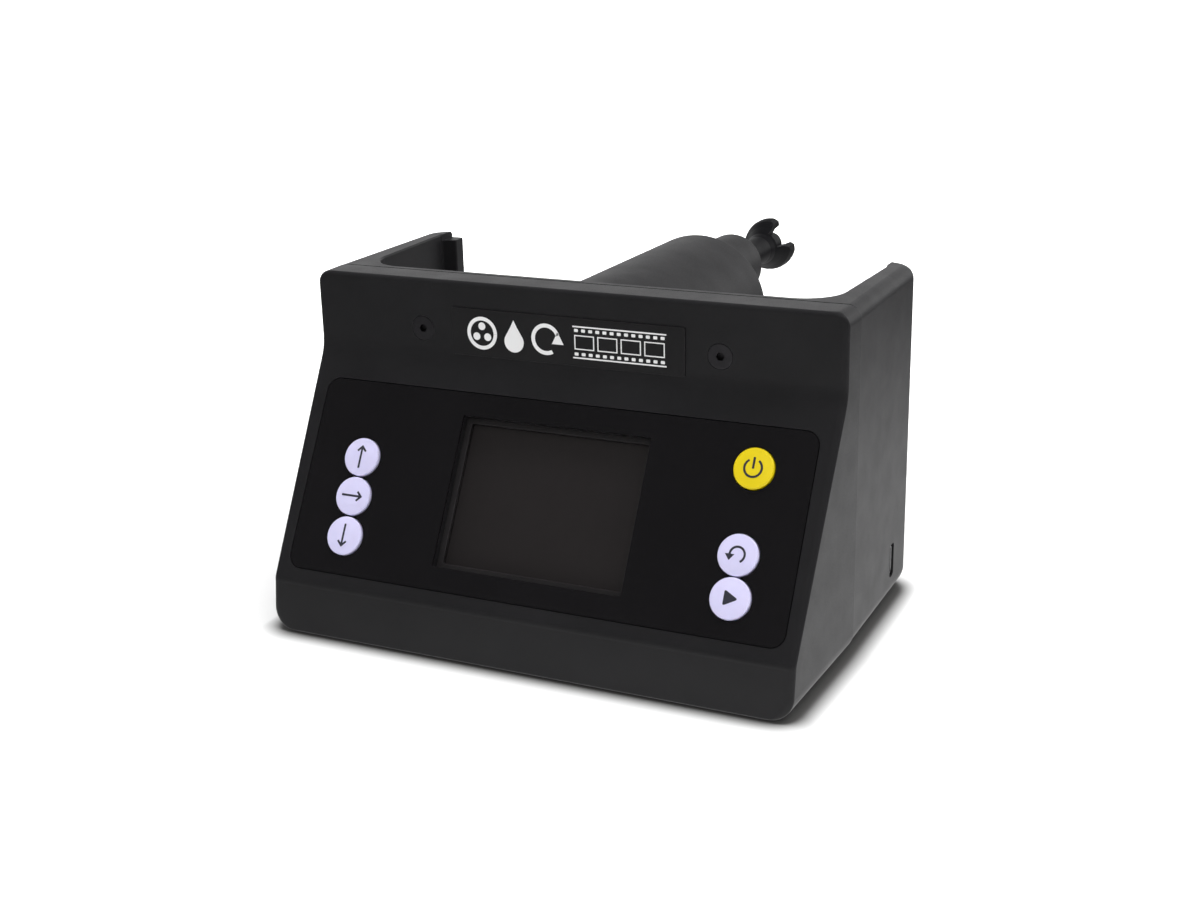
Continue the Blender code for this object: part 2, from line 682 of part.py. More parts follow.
def button_solid():
    """A domed cap with a stem towards its switch."""
    shoulder = BUTTON_TABS_TOP - 0.5 * MM
    stem_low = -SWITCH_TOP + BUTTON_TRAVEL + GAP
    crown = [
        (BUTTON_RADIUS, BUTTON_PROUD * 0.5), (BUTTON_RADIUS * 0.93, BUTTON_PROUD * 0.85), (0, BUTTON_PROUD),
    ]
    return turned([
        (0, stem_low), (1.7 * MM, stem_low), (1.7 * MM, shoulder), (BUTTON_RADIUS, shoulder), *crown,
    ], 18)


def add_buttons(panel):
    for name, (x, down) in BUTTON_PLACES.items():
        colour = YELLOW if name == "power" else WHITE_CAP
        cap = add_piece("button_" + name, button_solid(), colour, 0.35, parent=panel,
                        location=(x * MM, -down * MM, 0))
        tabs = block(-7.2 * MM, 7.2 * MM, -5 * MM, 5 * MM, BUTTON_TABS_TOP - MM, BUTTON_TABS_TOP)
        shape_with(cap, "UNION", "tabs_" + name, on_panel(tabs, x * MM, down * MM), parent=panel)
        body = BOARD_DEPTH - GAP
        switch = add_piece(
            "switch_" + name,
            prism(rectangle(-3 * MM, 3 * MM, -3 * MM, 3 * MM), -body, -body + 3.5 * MM),
            (0.03, 0.03, 0.03), 0.5, parent=panel, location=(x * MM, -down * MM, 0))
        plunger = on_panel(rod(1.7 * MM, -body + MM, -SWITCH_TOP, 8), x * MM, down * MM)
        shape_with(switch, "UNION", "plunger_" + name, plunger, parent=panel)


def add_control_board(panel):
    outline = rectangle(-BOARD_HALF, BOARD_HALF, -BOARD_BOTTOM, -BOARD_TOP, 1.5 * MM, 2)
    board = add_piece("control_board", prism(outline, -BOARD_DEPTH - BOARD, -BOARD_DEPTH), BOARD_GREEN, 0.5,
                      parent=panel)
    boss_x, boss_down = BOARD_BOSS
    holes = [
        on_panel(rod(1.6 * MM, -BOARD_DEPTH - 5 * MM, -BOARD_DEPTH + 5 * MM, 12), x * boss_x, boss_down)
        for x in (-1, 1)
    ]
    shape_with(board, "DIFFERENCE", "board_holes", together(*holes), parent=panel)
    for side, x in (("left", -1), ("right", 1)):
        screw = screw_solid(2.6 * MM, 1.6 * MM, 1.2 * MM, 7 * MM, 1.1 * MM)
        add_piece("board_screw_" + side, screw, STEEL, 0.3, 1.0, parent=panel,
                  location=(x * boss_x, -boss_down, -BOARD_DEPTH - BOARD - GAP), rotation=(math.pi, 0, 0))
    behind = -BOARD_DEPTH - BOARD - GAP
    add_piece("buzzer", turned([(0, -5 * MM), (4.6 * MM, -5 * MM), (4.8 * MM, 0), (0, 0)], 20),
              (0.02, 0.02, 0.02), 0.4, parent=panel, location=(-26 * MM, -30 * MM, behind))
    chip = prism(rectangle(-8 * MM, 8 * MM, -7 * MM, 7 * MM), -1.4 * MM, 0)
    add_piece("controller_chip", chip, (0.02, 0.02, 0.022), 0.4, parent=panel,
              location=(28 * MM, -32 * MM, behind))


def add_badge():
    outline = rectangle(BADGE_LOW, BADGE_HIGH, -BADGE_HALF, BADGE_HALF, 0.6 * MM, 2)
    front = UPPER_FACE_Y - 0.4 * MM
    add_piece("badge_plate", prism(outline, front, front + 0.8 * MM, "Y"), (0.016, 0.016, 0.017), 0.3)


# ---------------------------------------------------------------- gears

def involute_reach(radius, base):
    """The angle an involute has turned through when it reaches this radius."""
    if radius <= base:
        return 0.0
    pressure = math.acos(base / radius)
    return math.tan(pressure) - pressure


def gear_outline(teeth, module, phase):
    """Tooth outline with involute flanks; one tooth is centred on the angle phase."""
    pitch = teeth * module / 2
    base = pitch * math.cos(math.radians(20))
    root = pitch - 1.25 * module
    tip = pitch + 0.92 * module
    half_tooth = math.pi / teeth * (0.5 - BACKLASH) + involute_reach(pitch, base)
    flank = [root, pitch, tip]
    points = []
    for i in range(teeth):
        middle = phase + math.tau * i / teeth
        spread = [half_tooth - involute_reach(r, base) for r in flank]
        left = [(r, middle - s) for r, s in zip(flank, spread)]
        right = [(r, middle + s) for r, s in zip(flank, spread)][::-1]
        points += left + right
    return [(r * math.cos(a), r * math.sin(a)) for r, a in dict.fromkeys(points)]


def meshing_phase(direction, teeth, phase, other_teeth):
    """The phase of a second gear so that its gap meets the first gear's tooth along direction."""
    share = (direction - phase) / (math.tau / teeth)
    return direction + math.pi - (math.tau / other_teeth) * (0.5 - share)


def countershaft_places():
    """Where the two countershafts stand, as (x, z) from the motor's axis."""
    fine_centres = FINE_MODULE * (PINION_TEETH + WHEEL_TEETH) / 2
    coarse_centres = COARSE_MODULE * (LAST_PINION_TEETH + OUTPUT_TEETH) / 2
    second_z = (GEAR_B_REACH**2 - coarse_centres**2 + SHAFT_OFFSET**2) / (2 * SHAFT_OFFSET)
    second_x = math.sqrt(GEAR_B_REACH**2 - second_z**2)
    between = math.acos(GEAR_B_REACH / (2 * fine_centres))
    first_angle = math.atan2(second_z, second_x) - between
    first = (fine_centres * math.cos(first_angle), fine_centres * math.sin(first_angle))
    return first, (second_x, second_z)


def direction_between(start, end):
    """Angle of the line from one axis to another, in the gears' plane, whose second axis points down."""
    return math.atan2(-(end[1] - start[1]), end[0] - start[0])


def gear_place(spot):
    return {"location": (spot[0], 0, MOTOR_Z + spot[1]), "rotation": (-math.pi / 2, 0, 0)}


def add_gear_train():
    motor = (0.0, 0.0)
    output = (0.0, SHAFT_OFFSET)
    first, second = countershaft_places()

    pinion = prism(gear_outline(PINION_TEETH, FINE_MODULE, 0), 61 * MM, 65 * MM)
    piece = add_piece("motor_pinion", pinion, STEEL, 0.35, 1.0, **gear_place(motor))
    stub = along_y(rod(1.15 * MM, 52 * MM, 63 * MM, 12), 0, MOTOR_Z)
    shape_with(piece, "UNION", "pinion_shaft", stub)

    phase = meshing_phase(direction_between(motor, first), PINION_TEETH, 0, WHEEL_TEETH)
    add_cluster("gear_cluster_a", first, (WHEEL_TEETH, FINE_MODULE, phase, 61.5 * MM, 64.5 * MM),
                (PINION_TEETH, FINE_MODULE, 64 * MM, 70 * MM))
    phase = meshing_phase(direction_between(first, second), PINION_TEETH, 0, WHEEL_TEETH)
    add_cluster("gear_cluster_b", second, (WHEEL_TEETH, FINE_MODULE, phase, 66 * MM, 69 * MM),
                (LAST_PINION_TEETH, COARSE_MODULE, 68.5 * MM, 77.5 * MM))
    phase = meshing_phase(direction_between(second, output), LAST_PINION_TEETH, 0, OUTPUT_TEETH)
    wheel = prism(gear_outline(OUTPUT_TEETH, COARSE_MODULE, phase), 72.5 * MM, 76.5 * MM)
    piece = add_piece("output_gear", wheel, BRASS, 0.35, 1.0, **gear_place(output))
    bore = along_y(rod(SHAFT_RADIUS + GAP, 70 * MM, 80 * MM, 20), 0, SHAFT_Z)
    shape_with(piece, "DIFFERENCE", "output_gear_bore", bore)
    for name, spot in (("gear_pin_a", first), ("gear_pin_b", second)):
        add_piece(name, rod(PIN_RADIUS, 60.8 * MM, GEARBOX_FRONT - 2 * MM - GAP, 10), STEEL, 0.3, 1.0,
                  **gear_place(spot))


def add_cluster(name, spot, wheel, pinion):
    """A wheel and a smaller pinion in one piece, free to turn on its pin."""
    teeth, module, phase, low, high = wheel
    piece = add_piece(name, prism(gear_outline(teeth, module, phase), low, high), BRASS, 0.35, 1.0,
                      **gear_place(spot))
    teeth, module, low, high = pinion
    small = along_y(prism(gear_outline(teeth, module, 0), low, high), spot[0], MOTOR_Z + spot[1])
    shape_with(piece, "UNION", name + "_pinion", small)
    bore = along_y(rod(PIN_BORE, 55 * MM, 82 * MM, 12), spot[0], MOTOR_Z + spot[1])
    shape_with(piece, "DIFFERENCE", name + "_bore", bore)


# ---------------------------------------------------------------- drive

def add_motor():
    place = {"location": (0, 0, MOTOR_Z), "rotation": (-math.pi / 2, 0, 0)}
    case = [
        (GEARBOX_RADIUS - 1.2 * MM, GEARBOX_BACK), (GEARBOX_RADIUS, GEARBOX_BACK),
        (GEARBOX_RADIUS, GEARBOX_FRONT), (0, GEARBOX_FRONT), (0, GEARBOX_FRONT - 2 * MM),
        (GEARBOX_RADIUS - 1.2 * MM, GEARBOX_FRONT - 2 * MM),
    ]
    gearbox = add_piece("gearbox_case", turned(case, 28), STEEL, 0.35, 1.0, **place)
    holes = [along_y(rod(SHAFT_RADIUS + 0.4 * MM, 80 * MM, 90 * MM, 20), 0, SHAFT_Z)]
    screw_hole = rod(PILOT_RADIUS, 80 * MM, 90 * MM, 12)
    holes += [along_y(screw_hole, *motor_screw_place(a)) for a in MOTOR_SCREW_ANGLES]
    shape_with(gearbox, "DIFFERENCE", "gearbox_holes", together(*holes))
    front = GEARBOX_BACK - GAP
    can = [
        (0, MOTOR_BACK - 2 * MM), (5 * MM, MOTOR_BACK - 2 * MM), (5 * MM, MOTOR_BACK),
        (MOTOR_RADIUS - MM, MOTOR_BACK), (MOTOR_RADIUS, MOTOR_BACK + MM), (MOTOR_RADIUS, front),
        (1.6 * MM, front), (1.6 * MM, 50 * MM), (0, 50 * MM),
    ]
    add_piece("motor_can", turned(can, 24), STEEL, 0.3, 1.0, **place)


def motor_screw_place(angle):
    return MOTOR_SCREW_CIRCLE * math.cos(angle), MOTOR_Z + MOTOR_SCREW_CIRCLE * math.sin(angle)


def add_housing():
    root_y = SEAM + WEB + GAP
    edge = 1 * MM
    profile = [
        (HOUSING_BORE, root_y), (HOUSING_ROOT_RADIUS, root_y), (HOUSING_TIP_RADIUS, HOUSING_TIP_Y - edge),
        (HOUSING_TIP_RADIUS - 0.3 * edge, HOUSING_TIP_Y - 0.3 * edge),
        (HOUSING_TIP_RADIUS - edge, HOUSING_TIP_Y), (0, HOUSING_TIP_Y),
        (0, HOUSING_TIP_Y - HOUSING_END), (HOUSING_BORE, HOUSING_TIP_Y - HOUSING_END),
    ]
    housing = add_piece("motor_housing", turned(profile, 36), (0.025, 0.025, 0.026), 0.5,
                        location=(0, 0, MOTOR_Z), rotation=(-math.pi / 2, 0, 0))
    holes = [along_y(rod(6.3 * MM, 84 * MM, 95 * MM, 24), 0, SHAFT_Z)]
    motor_hole = rod(1.7 * MM, 84 * MM, 95 * MM, 12)
    holes += [along_y(motor_hole, *motor_screw_place(a)) for a in MOTOR_SCREW_ANGLES]
    housing_hole = rod(1.4 * MM, 0, 12 * MM, 12)
    holes += [along_y(housing_hole, *housing_screw_place(a)) for a in HOUSING_SCREW_ANGLES]
    shape_with(housing, "DIFFERENCE", "housing_holes", together(*holes))

    for i, angle in enumerate(HOUSING_SCREW_ANGLES):
        x, z = housing_screw_place(angle)
        screw = screw_solid(2.6 * MM, 1.6 * MM, 1.1 * MM, 11 * MM, 1.1 * MM)
        add_piece(f"housing_screw_{i + 1}", screw, STEEL, 0.3, 1.0,
                  location=(x, SEAM - GAP, z), rotation=(math.pi / 2, 0, 0))
    for i, angle in enumerate(MOTOR_SCREW_ANGLES):
        x, z = motor_screw_place(angle)
        screw = screw_solid(2.7 * MM, 2 * MM, 1.2 * MM, 6.5 * MM, 1.2 * MM)
        add_piece(f"motor_screw_{i + 1}", screw, DARK_SCREW, 0.35, 1.0,
                  location=(x, HOUSING_TIP_Y + GAP, z), rotation=(-math.pi / 2, 0, 0))


def add_nose():
    """The fixed nose that carries the shaft's outer bearing and its seal."""
    place = {"location": (0, 0, SHAFT_Z), "rotation": (-math.pi / 2, 0, 0)}
    base_y = HOUSING_TIP_Y + GAP
    pocket = 5.5 * MM
    floor_y = 112 * MM
    nose = [
        (SHAFT_RADIUS + 0.6 * MM, base_y - 3.6 * MM), (6 * MM, base_y - 3.6 * MM), (6 * MM, base_y),
        (NOSE_RADIUS + 0.5 * MM, base_y), (NOSE_RADIUS, NOSE_TIP_Y - 1.2 * MM),
        (NOSE_RADIUS - 0.4 * MM, NOSE_TIP_Y - 0.4 * MM), (NOSE_RADIUS - 1.2 * MM, NOSE_TIP_Y),
        (pocket, NOSE_TIP_Y), (pocket, floor_y), (SHAFT_RADIUS + 0.6 * MM, floor_y),
    ]
    add_piece("bearing_nose", turned(nose, 24), (0.02, 0.02, 0.021), 0.45, **place)
    inner = SHAFT_RADIUS + 0.25 * MM
    outer = pocket - GAP
    bush = tube(inner, outer, floor_y + GAP, floor_y + 6.4 * MM, 20)
    add_piece("nose_bush", bush, BRASS, 0.4, 1.0, **place)
    seal = tube(inner, outer, floor_y + 6.7 * MM, NOSE_TIP_Y - GAP, 20)
    add_piece("shaft_seal", seal, RUBBER, 0.7, **place)


def crown_slot(middle):
    """The outline of the wedge cut between two lobes, as (z, x) points about the shaft's axis."""
    spread = math.radians(30)
    wide = math.radians(47)
    polar = [(CROWN_HUB, middle + spread * k / 3) for k in (-3, -1, 1, 3)]
    polar += [(7.2 * MM, middle + spread), (8.6 * MM, middle + spread * 1.2), (9.2 * MM, middle + wide)]
    polar += [(15 * MM, middle + wide), (15 * MM, middle - wide)]
    polar += [(9.2 * MM, middle - wide), (8.6 * MM, middle - spread * 1.2), (7.2 * MM, middle - spread)]
    return [(SHAFT_Z + r * math.sin(a), r * math.cos(a)) for r, a in polar]


def add_drive():
    place = {"location": (0, 0, SHAFT_Z), "rotation": (-math.pi / 2, 0, 0)}
    add_piece("output_shaft", rod(SHAFT_RADIUS, 70.5 * MM, 151.5 * MM, 20), STEEL, 0.25, 1.0, **place)
    root = NOSE_TIP_Y + 0.4 * MM
    tip = CROWN_TIP_Y
    profile = [
        (SHAFT_RADIUS + GAP, root), (CROWN_STEM, root), (CROWN_STEM, CROWN_FLARE_Y - 3 * MM),
        (CROWN_STEM + 0.6 * MM, CROWN_FLARE_Y), (CROWN_RADIUS - 2 * MM, CROWN_FLARE_Y + 4 * MM),
        (CROWN_RADIUS - 0.5 * MM, CROWN_FLARE_Y + 7 * MM), (CROWN_RADIUS, tip - 3 * MM),
        (CROWN_RADIUS - 0.2 * MM, tip - 0.5 * MM), (CROWN_RADIUS - 0.8 * MM, tip),
        (CROWN_RADIUS - 2 * MM, tip), (CROWN_RADIUS - 2.8 * MM, tip - 4 * MM), (CROWN_HUB, tip - 5.5 * MM),
        (CROWN_HUB - 0.1 * MM, tip - 1 * MM), (CROWN_HUB - 1 * MM, tip - 0.2 * MM), (0, tip - 0.2 * MM),
        (0, 152 * MM), (SHAFT_RADIUS + GAP, 152 * MM),
    ]
    crown = add_piece("crown_coupling", turned(profile, 24), (0.015, 0.015, 0.016), 0.4, **place)
    slots = [
        prism(crown_slot(CROWN_SLOT_ANGLE + turn), CROWN_FLARE_Y + 1 * MM, CROWN_TIP_Y + 5 * MM, "Y")
        for turn in (0, math.pi)
    ]
    shape_with(crown, "DIFFERENCE", "crown_slots", together(*slots))


# ---------------------------------------------------------------- power and wiring

def add_power():
    floor = CASE_BOTTOM + FLOOR + 0.6 * MM
    pack = rectangle(floor, floor + 9 * MM, -56 * MM, 14 * MM, 2 * MM)
    add_piece("battery_pack", prism(pack, 9 * MM, 34 * MM, "Y"), (0.05, 0.09, 0.16), 0.45)
    board_y = USB_Y + 2.1 * MM
    board = block(58 * MM, 75 * MM, board_y, board_y + BOARD, floor, 19.6 * MM)
    add_piece("charge_board", board, BOARD_GREEN, 0.5)
    low, high = USB_LOW + 0.7 * MM, USB_HIGH - 0.7 * MM
    front = 81.9 * MM
    back = front - 7.3 * MM
    outline = rectangle(USB_Y - 1.6 * MM, USB_Y + 1.6 * MM, low, high, 1.2 * MM, 3)
    socket = add_piece("usb_socket", prism(outline, back, front, "X"), STEEL, 0.3, 1.0)
    mouth = rectangle(USB_Y - 1.3 * MM, USB_Y + 1.3 * MM, low + 0.3 * MM, high - 0.3 * MM, 1.0 * MM, 3)
    shape_with(socket, "DIFFERENCE", "usb_mouth", prism(mouth, back + MM, front + MM, "X"))
    tongue = block(back + 0.5 * MM, front - 0.8 * MM, USB_Y - 0.35 * MM, USB_Y + 0.35 * MM,
                   low + 1.2 * MM, high - 1.2 * MM)
    shape_with(socket, "UNION", "usb_tongue", tongue)


def swept(path, radius, steps=6):
    """A round cable along a path of points, smoothed between them, as a closed solid."""
    spots = [Vector(p) * MM for p in path]
    line = []
    for a, b, c, d in zip([spots[0]] + spots[:-2], spots[:-1], spots[1:], spots[2:] + [spots[-1]]):
        for k in range(3):
            t = k / 3
            square = (2 * a - 5 * b + 4 * c - d) * t**2
            cube = (3 * b - a - 3 * c + d) * t**3
            line.append(0.5 * (2 * b + (c - a) * t + square + cube))
    line.append(spots[-1])
    points = []
    across = Vector((1, 0, 0))
    for i, spot in enumerate(line):
        ahead = (line[min(i + 1, len(line) - 1)] - line[max(i - 1, 0)]).normalized()
        side = (across - ahead * across.dot(ahead)).normalized()
        up = ahead.cross(side)
        for k in range(steps):
            angle = math.tau * k / steps
            points.append(tuple(spot + radius * (math.cos(angle) * side + math.sin(angle) * up)))
    faces = [tuple(range(steps)), tuple(range(len(points) - steps, len(points)))]
    for i in range(len(line) - 1):
        for k in range(steps):
            j = (k + 1) % steps
            start = i * steps
            faces.append((start + k, start + j, start + steps + j, start + steps + k))
    return points, faces


def add_cables():
    motor_path = [(9, 27, 72), (9, 18, 72), (9, 7, 70), (9, 0, 63.5), (9, -4, 56), (9, -9, 47)]
    add_piece("motor_cable", swept(motor_path, 1.6 * MM), (0.35, 0.02, 0.02), 0.5)
    battery_path = [(-20, 7.8, 10), (-20, -4, 12), (-20, -14, 22), (-20, -17, 32)]
    add_piece("battery_cable", swept(battery_path, 1.2 * MM), (0.02, 0.02, 0.02), 0.5)


def clear_scene():
    for obj in list(bpy.data.objects):
        bpy.data.objects.remove(obj)


def centre_on_origin():
    """Moves everything so that the origin is under the middle of the whole object."""
    for obj in bpy.data.objects:
        if obj.parent is None:
            obj.location.y -= MIDDLE_Y


def build():
    clear_scene()
    panel = add_panel_frame()
    add_front_shell(panel)
    add_rear_shell()
    add_base()
    add_front_screws()
    add_overlay(panel)
    add_display(panel)
    add_buttons(panel)
    add_control_board(panel)
    add_badge()
    add_gear_train()
    add_motor()
    add_housing()
    add_nose()
    add_drive()
    add_power()
    add_cables()
    centre_on_origin()


build()
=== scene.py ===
"""Looks of a bench-top rotary film processor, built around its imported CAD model.

Shapes are made in the case's own axes: X to the operator's right, Y towards the tank and measured from the
seam between the two shells, Z up from the bench. finish_piece() moves each one into the frame's axes.
The control panel has axes of its own: X to the right, Y up the slope, Z out of the panel.
"""

import json
from math import asin, atan2, cos, pi, radians, sin, sqrt, tan, tau

import bmesh
import bpy
from mathutils import Matrix, Vector


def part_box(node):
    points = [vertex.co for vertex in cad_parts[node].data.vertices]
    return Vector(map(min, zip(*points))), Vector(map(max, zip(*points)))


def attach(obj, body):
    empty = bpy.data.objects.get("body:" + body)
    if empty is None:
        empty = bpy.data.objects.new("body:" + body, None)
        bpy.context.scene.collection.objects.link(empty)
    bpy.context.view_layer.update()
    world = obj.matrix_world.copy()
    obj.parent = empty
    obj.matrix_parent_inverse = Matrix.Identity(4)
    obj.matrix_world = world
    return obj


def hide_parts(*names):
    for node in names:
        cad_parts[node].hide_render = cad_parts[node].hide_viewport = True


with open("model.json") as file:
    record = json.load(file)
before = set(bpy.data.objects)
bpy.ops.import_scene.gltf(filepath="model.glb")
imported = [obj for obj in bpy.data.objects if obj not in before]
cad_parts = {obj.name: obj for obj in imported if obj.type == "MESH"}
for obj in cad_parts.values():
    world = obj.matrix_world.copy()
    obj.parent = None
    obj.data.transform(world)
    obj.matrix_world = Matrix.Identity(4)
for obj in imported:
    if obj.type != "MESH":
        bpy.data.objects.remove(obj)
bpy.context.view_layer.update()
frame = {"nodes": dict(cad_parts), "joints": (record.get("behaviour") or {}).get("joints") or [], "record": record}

MM = 0.001
GAP = 0.3 * MM  # between pieces that touch on the real object
JOINT = 0.04 * MM  # where the gap would show as a line that the real object doesn't have
SEAM_PLACE = Vector((0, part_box("front_shell")[1].y + GAP / 2, 0))


def case_box(node):
    """Lowest and highest corner of a CAD node in the case's axes."""
    low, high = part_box(node)
    return low - SEAM_PLACE, high - SEAM_PLACE


def case_centre(node):
    low, high = case_box(node)
    return (low + high) / 2


# Case
REAR_LOW, REAR_HIGH = case_box("rear_shell")
HALF_WIDTH = REAR_HIGH.x
CASE_TOP = REAR_HIGH.z
CASE_BOTTOM = REAR_LOW.z
SKIRT = 1.5 * MM  # how far the case's lower edge reaches down past the base plate, over the feet
HEM = CASE_BOTTOM - SKIRT
REAR_Y = REAR_HIGH.y
CHIN_Y = case_box("front_shell")[0].y
WALL = 2.8 * MM
FLOOR = 2.4 * MM
SIDE_DRAFT = 0.038  # how much each side of the front shell closes in per unit of depth
SEAM = 0.02 * MM  # half of the hairline between the two shells
FRONT_SEAM_EDGE = 0.6 * MM  # rounded edge of the front shell's mating face
SIDE_PROUD = 0.25 * MM  # how far the front shell stands out from the rear one at the sides
CHIN_LEAN = 1.9 * MM  # how far the chin leans forwards at its lower edge
WAIST_RADIUS = 13 * MM
CREASE_RADIUS = 4 * MM
FRONT_EDGE_ACROSS = 2.3 * MM  # the upright front edges are rounded further across than deep
FRONT_EDGE_DEEP = 1.1 * MM
TOP_SIDE_RADIUS = 4 * MM
TOP_FRONT_RADIUS = 1.3 * MM
BOTTOM_SIDE_RADIUS = 6.5 * MM
BOTTOM_FRONT_RADIUS = 0.8 * MM
WEB = 2.2 * MM
WING_ROOT = 9.3 * MM  # thickness of each wing at the web
WING_TIP = 7.5 * MM  # and just before its lip
WING_FILLET = 12 * MM
WING_EDGE = 0.6 * MM
LIP_X = 70.7 * MM
LIP_Y = REAR_Y - 4.8 * MM
LIP_TOP_LEFT = 99 * MM
LIP_TOP_RIGHT = 95 * MM
REAR_TOP_RADIUS = 1.5 * MM
REAR_BOTTOM_RADIUS = 6 * MM
REAR_CORNER_RADIUS = 5.5 * MM
DECK_Z = 22.5 * MM
DECK = 2.2 * MM
WING_FOOT = DECK_Z - 8 * MM  # the wings reach down past the deck into the base
PLATE_X = 70 * MM
PLATE_FRONT = -40 * MM
PLATE_REAR = 49 * MM

# Badge and the screws beside it
BADGE_LOW, BADGE_HIGH = case_box("badge_plate")
BADGE_PROUD = 0.4 * MM
UPPER_FACE_Y = BADGE_LOW.y + BADGE_PROUD
FRONT_SCREW = case_centre("front_screw_right")
FRONT_SCREW_SPOTS = [(-FRONT_SCREW.x, FRONT_SCREW.z), (FRONT_SCREW.x, FRONT_SCREW.z)]
SEAT_RADIUS = 3.8 * MM
SEAT_BORE = 1.9 * MM

# Drive
HOUSING_LOW, HOUSING_HIGH = case_box("motor_housing")
MOTOR_Z = case_centre("motor_housing").z
HOUSING_TIP_RADIUS = 23.1 * MM
HOUSING_BORE = 19.2 * MM
HOUSING_END = 4.1 * MM
NOSE_TIP_Y = case_box("bearing_nose")[1].y
SHAFT_Z = case_centre("bearing_nose").z
NOSE_RADIUS = 10.7 * MM
SHAFT_RADIUS = case_box("output_shaft")[1].x
CROWN_LOW, CROWN_HIGH = case_box("crown_coupling")
CROWN_RADIUS = 9.35 * MM
CROWN_STEM = 5 * MM
CROWN_HUB = 4.2 * MM
CROWN_FLARE_Y = CROWN_HIGH.y - 12.3 * MM
CROWN_SLOT_ANGLE = radians(37)

# Control panel
OVERLAY = 0.6 * MM
BUTTON_RADIUS = 5.7 * MM
DOME = 0.25 * MM  # how much lower a button's rim is than its middle
TABS_TOP = -WALL - GAP - 0.1 * MM  # the two tabs that keep each button in lie under the shell's wall
ICON_PROUD = 0.03 * MM
STROKE = 0.62 * MM  # line width of the symbols printed on the buttons


def panel_axes():
    """The control panel's axes: the keys' travel gives its slope, and the overlay's box its place."""
    travel = next(j for j in frame["joints"] if j["name"] == "press_up")["axis"]
    outward = -Vector(travel).normalized()
    up_slope = Vector((0, outward.z, -outward.y))
    _, high = case_box("panel_overlay")
    top_edge = Vector((0, high.y + OVERLAY * outward.y, high.z))
    waist = top_edge + up_slope * ((UPPER_FACE_Y - top_edge.y) / up_slope.y)
    turn = Matrix(((1, 0, 0), (0, up_slope.y, outward.y), (0, up_slope.z, outward.z)))
    return Matrix.Translation(waist) @ turn.to_4x4()


PANEL = panel_axes()
WAIST_Z = PANEL.translation.z
SLOPE = asin(PANEL.col[2].z)  # of the panel, from vertical


def panel_spots(node):
    """The points of a CAD node in the panel's axes."""
    to_panel = PANEL.inverted()
    return [to_panel @ (v.co - SEAM_PLACE) for v in frame["nodes"][node].data.vertices]


def panel_box(node):
    spots = panel_spots(node)
    return Vector(map(min, *spots)), Vector(map(max, *spots))


def key_place(name):
    """The centre of a button in the panel's axes: where its cap stands highest."""
    highest = max(panel_spots("button_" + name), key=lambda spot: spot.z)
    return highest.x, highest.y


OVERLAY_LOW, OVERLAY_HIGH = panel_box("panel_overlay")
GLASS_LOW, GLASS_HIGH = panel_box("display_glass")
BEZEL_LOW, BEZEL_HIGH = panel_box("display_bezel")
DISPLAY_EDGE = 4 * MM  # how far the display reaches under the edge of its window
KEY_PLACES = {name: key_place(name) for name in ("up", "select", "down", "power", "back", "start")}


# Outlines

# For each axis an outline is extruded along: which of X, Y and Z its two coordinates are, then that axis
AXES_OF_OUTLINE = {"X": (1, 2, 0), "Y": (2, 0, 1), "Z": (0, 1, 2)}


def arc(centre, radius, start, end, steps):
    """Points on a circle from angle start to angle end, both included."""
    angles = [start + (end - start) * i / steps for i in range(steps + 1)]
    return [(centre[0] + radius * cos(a), centre[1] + radius * sin(a)) for a in angles]


def corner_arc(before, corner, after, radius, steps):
    """Points of the arc that rounds one corner of an outline."""
    corner = Vector(corner)
    back = (Vector(before) - corner).normalized()
    ahead = (Vector(after) - corner).normalized()
    half = back.angle(ahead) / 2
    reach = radius / tan(half)
    centre = corner + (back + ahead).normalized() * radius / sin(half)
    first = corner + back * reach - centre
    last = corner + ahead * reach - centre
    start = atan2(first.y, first.x)
    turn = atan2(first.x * last.y - first.y * last.x, first.dot(last))
    return arc(centre, radius, start, start + turn, steps)


def rounded(corners, radii, steps=6, closed=True):
    """The outline with each corner rounded to its radius; a radius of 0 keeps the corner."""
    count = len(corners)
    points = []
    for i, (corner, radius) in enumerate(zip(corners, radii)):
        at_end = not closed and i in (0, count - 1)
        if radius <= 0 or at_end:
            points.append(tuple(corner))
            continue
        points += corner_arc(corners[i - 1], corner, corners[(i + 1) % count], radius, steps)
    return points


def rectangle(x_low, x_high, y_low, y_high, radius=0.0, steps=6):
    corners = [(x_low, y_low), (x_high, y_low), (x_high, y_high), (x_low, y_high)]
    return rounded(corners, [radius] * 4, steps)


def within(low, high, inset, radius=0.0, steps=6, axis="Z"):
    """The outline of a box seen along an axis, moved inwards all round by inset."""
    u, v, _ = AXES_OF_OUTLINE[axis]
    return rectangle(low[u] + inset, high[u] - inset, low[v] + inset, high[v] - inset, radius, steps)


WINDOW = within(GLASS_LOW, GLASS_HIGH, DISPLAY_EDGE, 0.6 * MM)


# Solids, as (points, faces)

def prism(outline, low, high, axis="Z"):
    """The outline extruded along an axis."""
    points = []
    for level in (low, high):
        for flat in outline:
            placed = dict(zip(AXES_OF_OUTLINE[axis], (*flat, level)))
            points.append((placed[0], placed[1], placed[2]))
    return points, ring_faces(len(outline), 2)


def ring_faces(count, rings):
    """Faces of a closed solid made of rings of points, one above the other."""
    faces = [tuple(range(count)), tuple(range(count * (rings - 1), count * rings))]
    for r in range(rings - 1):
        for i in range(count):
            j = (i + 1) % count
            faces.append((r * count + i, r * count + j, (r + 1) * count + j, (r + 1) * count + i))
    return faces


def block(x_low, x_high, y_low, y_high, z_low, z_high):
    return prism(rectangle(x_low, x_high, y_low, y_high), z_low, z_high)


